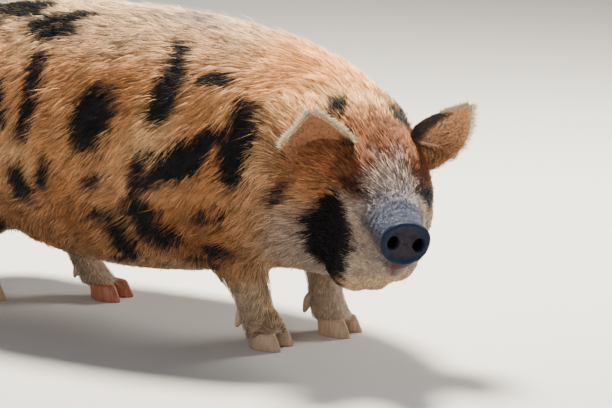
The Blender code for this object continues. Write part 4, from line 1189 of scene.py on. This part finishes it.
# The switch of the tail. Long ginger to dark hair hangs from the last third of the tail.
# Roots are drawn from the tail's own faces, and every hair hangs nearly straight down.
SWITCH_DARK = (0.05, 0.03, 0.02)
switch_rows = np.where(tail_hair & (tri_middle[:, 2] < 0.405))[0]
picks = rng.choice(switch_rows, 900)
roots, outs = tri_middle[picks], unit(tri_normals[picks].sum(1))
ways = unit(outs * 0.18 + np.array((-0.04, 0.0, -1.0)))
colour = mix(np.tile(GINGER, (len(picks), 1)), SWITCH_DARK, rng.random(len(picks)) * 0.8)
coat_pieces.append(loose_hair("tail_switch", roots, outs, ways, 0.048, 0.0010, colour, 66, curl=0.30))

# Lashes and whiskers. Fine lashes stand along both lids, and stiff bristles on the chin and lips.
# The lashes' roots follow the slit of the eye; the bristles' are drawn from the faces of the jaw.
LASHES = {"right": (0.10, 0.055, 0.035), "left": (0.02, 0.016, 0.014)}
LASH_COUNT = 90
for hand, (middle, out, across, rise) in eyes.items():
    angle = rng.uniform(0.08, 0.92, LASH_COUNT) * math.pi
    lower = rng.random(LASH_COUNT) < 0.25
    a = LID_SLIT[0] * 1.08 * np.cos(angle)
    b = np.where(lower, -LID_SLIT[2], LID_SLIT[1]) * 1.15 * np.sin(angle)
    c = EYE_RADIUS + 0.0012 - (a * a + b * b) / (2 * EYE_RADIUS)
    roots = np.array(middle) + np.outer(a, np.array(across)) + np.outer(b, np.array(rise))
    roots += np.outer(c, np.array(out))
    outs = np.tile(np.array(out), (LASH_COUNT, 1))
    ways = np.array(out) + np.outer(a / LID_SLIT[0] * 0.5, np.array(across))
    ways = unit(ways + np.outer(np.where(lower, -0.9, 0.35), np.array(rise)))
    colour = np.tile(LASHES[hand], (LASH_COUNT, 1))
    coat_pieces.append(loose_hair(f"lashes_{hand}", roots, outs, ways, 0.0065, 0.00035, colour, 71))
here = in_head(tri_middle)
whisker_rows = np.where((here[:, 0] > -0.11) & (here[:, 2] < -0.02) & head_part(tri_middle))[0]
picks = rng.choice(whisker_rows, 260, replace=False)
roots, outs = tri_middle[picks], unit(tri_normals[picks].sum(1))
ways = unit(lie_of(roots) * 0.6 + outs)
colour = mix(coat_colour(roots), PALE, 0.6)
coat_pieces.append(loose_hair("whiskers", roots, outs, ways, 0.018, 0.0004, colour, 72, curl=0.45))
hair = hair_material()
for piece in coat_pieces:
    piece.data.materials.append(hair)

# Snout disc. Bare, moist, slate skin over a pad of gristle: a rolled rim round a shallow dish, two nostrils.
# Rings are bridged from the back of the rim to the middle of the dish, and the nostrils are pushed in.
DISC_ROLL = math.radians(-9)
# How far ahead of the nose each ring lies, and its share of the disc's half width
DISC = (
    (-0.0270, 0.66), (-0.0160, 0.80), (-0.0115, 0.93), (-0.0085, 0.975), (-0.0045, 1.00), (-0.0005, 0.995),
    (0.0020, 0.965), (0.0032, 0.925), (0.0034, 0.88), (0.0029, 0.835), (0.0021, 0.79), (0.0013, 0.74),
    (0.0008, 0.69), (0.0005, 0.64), (0.0004, 0.59), (0.0005, 0.54), (0.0007, 0.49), (0.0010, 0.44),
    (0.0012, 0.39), (0.0014, 0.34), (0.0016, 0.29), (0.0018, 0.24), (0.0019, 0.19), (0.0020, 0.14),
    (0.0020, 0.09), (0.0020, 0.04), (0.0020, 0.01),
)
DISC_HALF = (0.0505, 0.0465, 0.043, 0.045)
DISC_ASIDE = 0.003
# Each nostril's place aside, half height, half width and depth
NOSTRIL = (0.0250, 0.0132, 0.0112, 0.021)
RIM_SLATE = (0.009, 0.014, 0.030)
DISH_BROWN = (0.022, 0.016, 0.017)
NOSTRIL_SHADE = (0.003, 0.0015, 0.002)
disc_turn = HEAD_TURN @ Matrix.Rotation(DISC_ROLL, 3, "X")
high, low, above, below = DISC_HALF
disc_rings = []
for along, share in DISC:
    middle = NOSE + disc_turn @ Vector((along, DISC_ASIDE, 0))
    disc_rings.append((middle, disc_turn, high * share, low * share, above * share, below * share))
disc = from_bmesh(loft(disc_rings, 120, 2.2), "snout_pad")
points = points_of(disc.data)
flat = (points - np.array(NOSE)) @ np.array(disc_turn) - np.array((0, DISC_ASIDE, 0))
aside, tall, wide, deep = NOSTRIL
front = flat[:, 0] > -0.002
oval = np.sqrt(((np.abs(flat[:, 1]) - aside) / wide) ** 2 + (flat[:, 2] / tall) ** 2)
flat[:, 0] -= front * deep * (1 - ease(oval, 0.70, 1.05))
flat[:, 0] += front * 0.0013 * bell(oval, 1.25, 0.22)
seam = bell(flat[:, 1], 0, 0.004) * (flat[:, 2] < 0.02)
flat[:, 0] -= front * 0.0009 * seam
flat[:, 0] += front * 0.0006 * ripple(flat, 0.010, 31)
points = np.array(NOSE) + (flat + np.array((0, DISC_ASIDE, 0))) @ np.array(disc_turn).T
move_points(disc.data, points)
disc.data.shade_smooth()


def pad_material():
    """Moist bare skin: slate at the rim, brown in the dish, pebbled, with wet gloss."""
    pad = Paint("snout pad", Roughness=0.56, Specular_IOR_Level=0.14, Specular_Tint=(0.35, 0.50, 1.0, 1),
                Coat_Weight=0.03, Coat_Roughness=0.30)
    tint, place_of = pad.coat_and_place()
    pebble = pad.add("TexVoronoi", Scale=620)
    pad.join(place_of, "Object", pebble, "Vector")
    cloud = pad.add("TexNoise", Scale=130)
    pad.join(place_of, "Object", cloud, "Vector")
    shade = pad.add("Mix", {"data_type": "RGBA", "blend_type": "OVERLAY"}, Factor=0.5)
    pad.join(tint, "Color", shade, "A")
    pad.join(cloud, "Fac", shade, "B")
    pad.join(shade, "Result", pad.shader, "Base Color")
    bump = pad.add("Bump", Distance=0.0005, Strength=0.7)
    pad.join(pebble, "Distance", bump, "Height")
    pad.join(bump, "Normal", pad.shader, "Normal")
    return pad.made


share = np.hypot(flat[:, 1] / 0.050, flat[:, 2] / 0.044)
tint = mix(np.tile(RIM_SLATE, (len(flat), 1)), DISH_BROWN, 0.85 * (1 - ease(share, 0.48, 0.88)))
# The nostrils are painted near black: painted shade in their hollows
paint(disc.data, mix(tint, NOSTRIL_SHADE, 1 - ease(oval, 0.85, 1.18)))
disc.data.materials.append(pad_material())

# Eyes. Small, dark and set deep: a wet ball with a brown iris round a wide pupil.
# Each is a fine ball with a slight bulge of the cornea, turned so that its pole is the pupil.
EYE_WHITE = (0.030, 0.018, 0.014)
EYE_BROWN = (0.026, 0.010, 0.006)
PUPIL = (0.002, 0.002, 0.002)


def eye_material(name):
    """Wet and dark, coloured by how near each place is to the pupil."""
    wet = Paint(name, Roughness=0.12, Specular_IOR_Level=0.12, Coat_Weight=0.20, Coat_Roughness=0.03)
    wet.join(wet.add("Attribute", {"attribute_name": "Coat"}), "Color", wet.shader, "Base Color")
    return wet.made


eye_pieces = []
for hand, (middle, out, across, rise) in eyes.items():
    bm = bmesh.new()
    bmesh.ops.create_uvsphere(bm, u_segments=40, v_segments=28, radius=EYE_RADIUS)
    for vert in bm.verts:
        vert.co *= 1 + 0.05 * float(ease(vert.co.z / EYE_RADIUS, 0.75, 1.0))
    bmesh.ops.rotate(bm, cent=(0, 0, 0), matrix=out.to_track_quat("Z", "Y").to_matrix(), verts=bm.verts)
    bmesh.ops.translate(bm, vec=middle, verts=bm.verts)
    eye = from_bmesh(bm, f"eyeball_{hand}")
    lean = unit(points_of(eye.data) - np.array(middle)) @ np.array(out)
    tint = mix(np.tile(EYE_WHITE, (len(lean), 1)), EYE_BROWN, ease(lean, 0.62, 0.70))
    paint(eye.data, mix(tint, PUPIL, ease(lean, 0.86, 0.91)))
    eye.data.shade_smooth()
    eye.data.materials.append(eye_material(f"wet eye {hand}"))
    eye_pieces.append(eye)

# Claws and dewclaws. Horn grown in rings from the coronet: two bearing toes to a foot, two spurs behind.
# Each claw is level rings bridged from the coronet to the flat sole; each spur is rings along its length.
CLAW_LENGTH = 0.076
CLAW_WIDTH = 0.037
CLAW_ASIDE = 0.079
CLAW_SPREAD = 0.0215
CLAW_TURN = math.radians(5)
CLAW_FORWARD = 0.028
# Height of each ring, its shares of the length and width, and how far ahead it lies
CLAW = ((0.0345, 0.84, 0.90, -0.005), (0.031, 0.875, 0.955, -0.004), (0.026, 0.90, 0.975, -0.002),
        (0.018, 0.94, 1.00, 0.000), (0.010, 0.975, 1.00, 0.002), (0.004, 1.00, 0.995, 0.004),
        (0.0012, 1.00, 0.985, 0.004), (0.0, 0.97, 0.94, 0.004))
DEWCLAW_LENGTH = 0.030
DEWCLAW_RADIUS = 0.0095
DEWCLAW_HEIGHT = 0.066
DEWCLAW_BEHIND = 0.022
DEWCLAW_ASIDE = 0.082
DEWCLAW_SPREAD = 0.018
# Place of each ring along a spur and its share of the radius
SPUR = ((-0.35, 0.80), (-0.15, 1.02), (0.05, 1.10), (0.22, 1.03), (0.45, 0.88), (0.7, 0.67), (0.88, 0.45),
        (0.97, 0.27), (1.0, 0.12))


def horn_material(name, light, dark):
    """Horn: growth rings down the wall, streaks along it and a satin face."""
    horn = Paint(name, Roughness=0.45)
    place_of = horn.add("TexCoord")
    rings = horn.add("TexWave", {"bands_direction": "Z"}, Scale=55, Distortion=1.6, Detail=3)
    horn.join(place_of, "Object", rings, "Vector")
    stretch = horn.add("Mapping", Scale=(1, 1, 0.12))
    horn.join(place_of, "Object", stretch, "Vector")
    streak = horn.add("TexNoise", Scale=190, Detail=5, Roughness=0.65)
    horn.join(stretch, "Vector", streak, "Vector")
    ramp = horn.add("ValToRGB")
    for stop, place_on, colour in zip(ramp.color_ramp.elements, (0.30, 0.70), (dark, light)):
        stop.position = place_on
        stop.color = (*colour, 1)
    horn.join(streak, "Fac", ramp, "Fac")
    horn.join(ramp, "Color", horn.shader, "Base Color")
    bump = horn.add("Bump", Distance=0.0004, Strength=0.5)
    horn.join(rings, "Fac", bump, "Height")
    horn.join(bump, "Normal", horn.shader, "Normal")
    return horn.made


pale_horn = horn_material("pale horn", (0.58, 0.43, 0.30), (0.36, 0.22, 0.13))
red_horn = horn_material("red horn", (0.52, 0.19, 0.10), (0.27, 0.085, 0.045))
horn_pieces = []
for leg, (foot, leg_side, _, _) in LEGS.items():
    for toe, where in ((-1, "inner"), (1, "outer")):
        side = toe * leg_side
        label = f"{leg.replace('leg', '')}_{where}"
        bm = loft([(Vector((0, 0, row[0])), LEVEL, 1, 1, 1, 1) for row in CLAW], 40)
        rows = {round(z, 5): row for z, *row in CLAW}
        turn = Matrix.Rotation(side * CLAW_TURN, 3, "Z")
        middle = Vector((foot + CLAW_FORWARD, leg_side * CLAW_ASIDE + side * CLAW_SPREAD, 0))
        for vert in bm.verts:
            long, wide, ahead = rows[round(vert.co.z, 5)]
            angle = math.atan2(vert.co.y, vert.co.x)
            c, s = math.cos(angle), math.sin(angle)
            pinch = 1 - 0.38 * max(0.0, c) ** 2
            x = CLAW_LENGTH / 2 * long * c + ahead
            y = CLAW_WIDTH / 2 * wide * s * pinch * (1.0 if s * side > 0 else 0.82)
            vert.co = middle + turn @ Vector((x, y, vert.co.z))
        claw = from_bmesh(bm, f"toe_{label}")
        claw.data.shade_smooth()
        claw.data.materials.append(red_horn if "hind_left" in label else pale_horn)
        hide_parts(f"claw_{label}")
        behind = leg_middle(leg, DEWCLAW_HEIGHT) - DEWCLAW_BEHIND
        top = Vector((behind, leg_side * DEWCLAW_ASIDE + side * DEWCLAW_SPREAD, DEWCLAW_HEIGHT))
        down = Vector((-0.30, side * 0.12, -0.95)).normalized()
        turn = down.to_track_quat("X", "Y").to_matrix()
        rings = []
        for t, size in SPUR:
            radius = DEWCLAW_RADIUS * size
            rings.append((top + down * DEWCLAW_LENGTH * t, turn, radius, radius, radius * 0.8, radius * 0.8))
        spur = from_bmesh(loft(rings, 24), f"spur_{label}")
        spur.data.shade_smooth()
        spur.data.materials.append(pale_horn)
        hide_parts(f"dewclaw_{label}")
        horn_pieces += [claw, spur]

# Everything is now set from under the belly's middle to the middle of the pig's footprint and tied to it.
# The skin stands for all the flesh; the snout pad, eyes, claws and spurs each stand for their own solid.
for piece in [skin, disc, *coat_pieces, *eye_pieces, *horn_pieces]:
    piece.data.transform(Matrix.Translation(-ORIGIN))
    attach(piece, "root")
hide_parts("torso", "neck", "head", "foreleg_right", "foreleg_left", "hindleg_right", "hindleg_left",
            "ear_right", "ear_left", "tail")
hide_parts("snout_disc")
for hand, piece in zip(eyes, eye_pieces):
    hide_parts(f"eye_{hand}")

# Studio. A plain pale floor, a high soft key a little behind the pig, and broad fills, with a pale surround.
# The camera stands ahead and to the right of the pig, a little above it, with a long lens.
bm = bmesh.new()
bmesh.ops.create_grid(bm, x_segments=1, y_segments=1, size=9)
studio_floor = from_bmesh(bm, "studio_floor")
studio_floor.data.materials.append(Paint("pale floor", Base_Color=(0.62, 0.61, 0.59, 1), Roughness=0.9).made)

world = bpy.data.worlds.new("pale surround")
world.use_nodes = True
surround = world.node_tree.nodes["Background"]
surround.inputs["Color"].default_value = (0.86, 0.90, 1.0, 1)
surround.inputs["Strength"].default_value = 0.27
bpy.context.scene.world = world
CAMERA_YAW = math.radians(30)
CAMERA_RISE = math.radians(13)
CAMERA_AWAY = 5.5
PICTURE_WIDTH = 612
FOCAL_PIXELS = 2750
toward = Vector((math.sin(CAMERA_YAW), -math.cos(CAMERA_YAW), 0))
to_right = Vector((math.cos(CAMERA_YAW), math.sin(CAMERA_YAW), 0))
target = Vector((0.30, 0, 0.28)) + 0.012 * to_right - ORIGIN


def softbox(name, spot, size, power, colour):
    data = bpy.data.lights.new(name, "AREA")
    data.shape = "DISK"
    data.size = size
    data.energy = power
    data.color = colour
    lamp = bpy.data.objects.new(name, data)
    bpy.context.scene.collection.objects.link(lamp)
    lamp.location = spot
    lamp.rotation_euler = (Vector(spot) - Vector((0.1, 0, 0.35))).to_track_quat("Z", "Y").to_euler()


softbox("key", (-0.3, 0.9, 3.5), 0.9, 690, (1.0, 0.92, 0.78))
front = target + toward * 3.2 - to_right * 1.5 + Vector((0, 0, 1.6))
behind = target - toward * 1.6 + to_right * 2.2 + Vector((0, 0, 1.3))
softbox("front_fill", tuple(front), 1.8, 36, (1.0, 0.95, 0.88))
softbox("far_rim", tuple(behind), 1.0, 90, (1.0, 0.96, 0.88))

camera = bpy.data.objects.new("camera", bpy.data.cameras.new("camera"))
bpy.context.scene.collection.objects.link(camera)
eye_way = toward * math.cos(CAMERA_RISE) + Vector((0, 0, math.sin(CAMERA_RISE)))
camera.location = target + eye_way * CAMERA_AWAY
camera.rotation_euler = eye_way.to_track_quat("Z", "Y").to_euler()
camera.data.sensor_width = 36
camera.data.lens = FOCAL_PIXELS / PICTURE_WIDTH * 36
bpy.context.scene.camera = camera
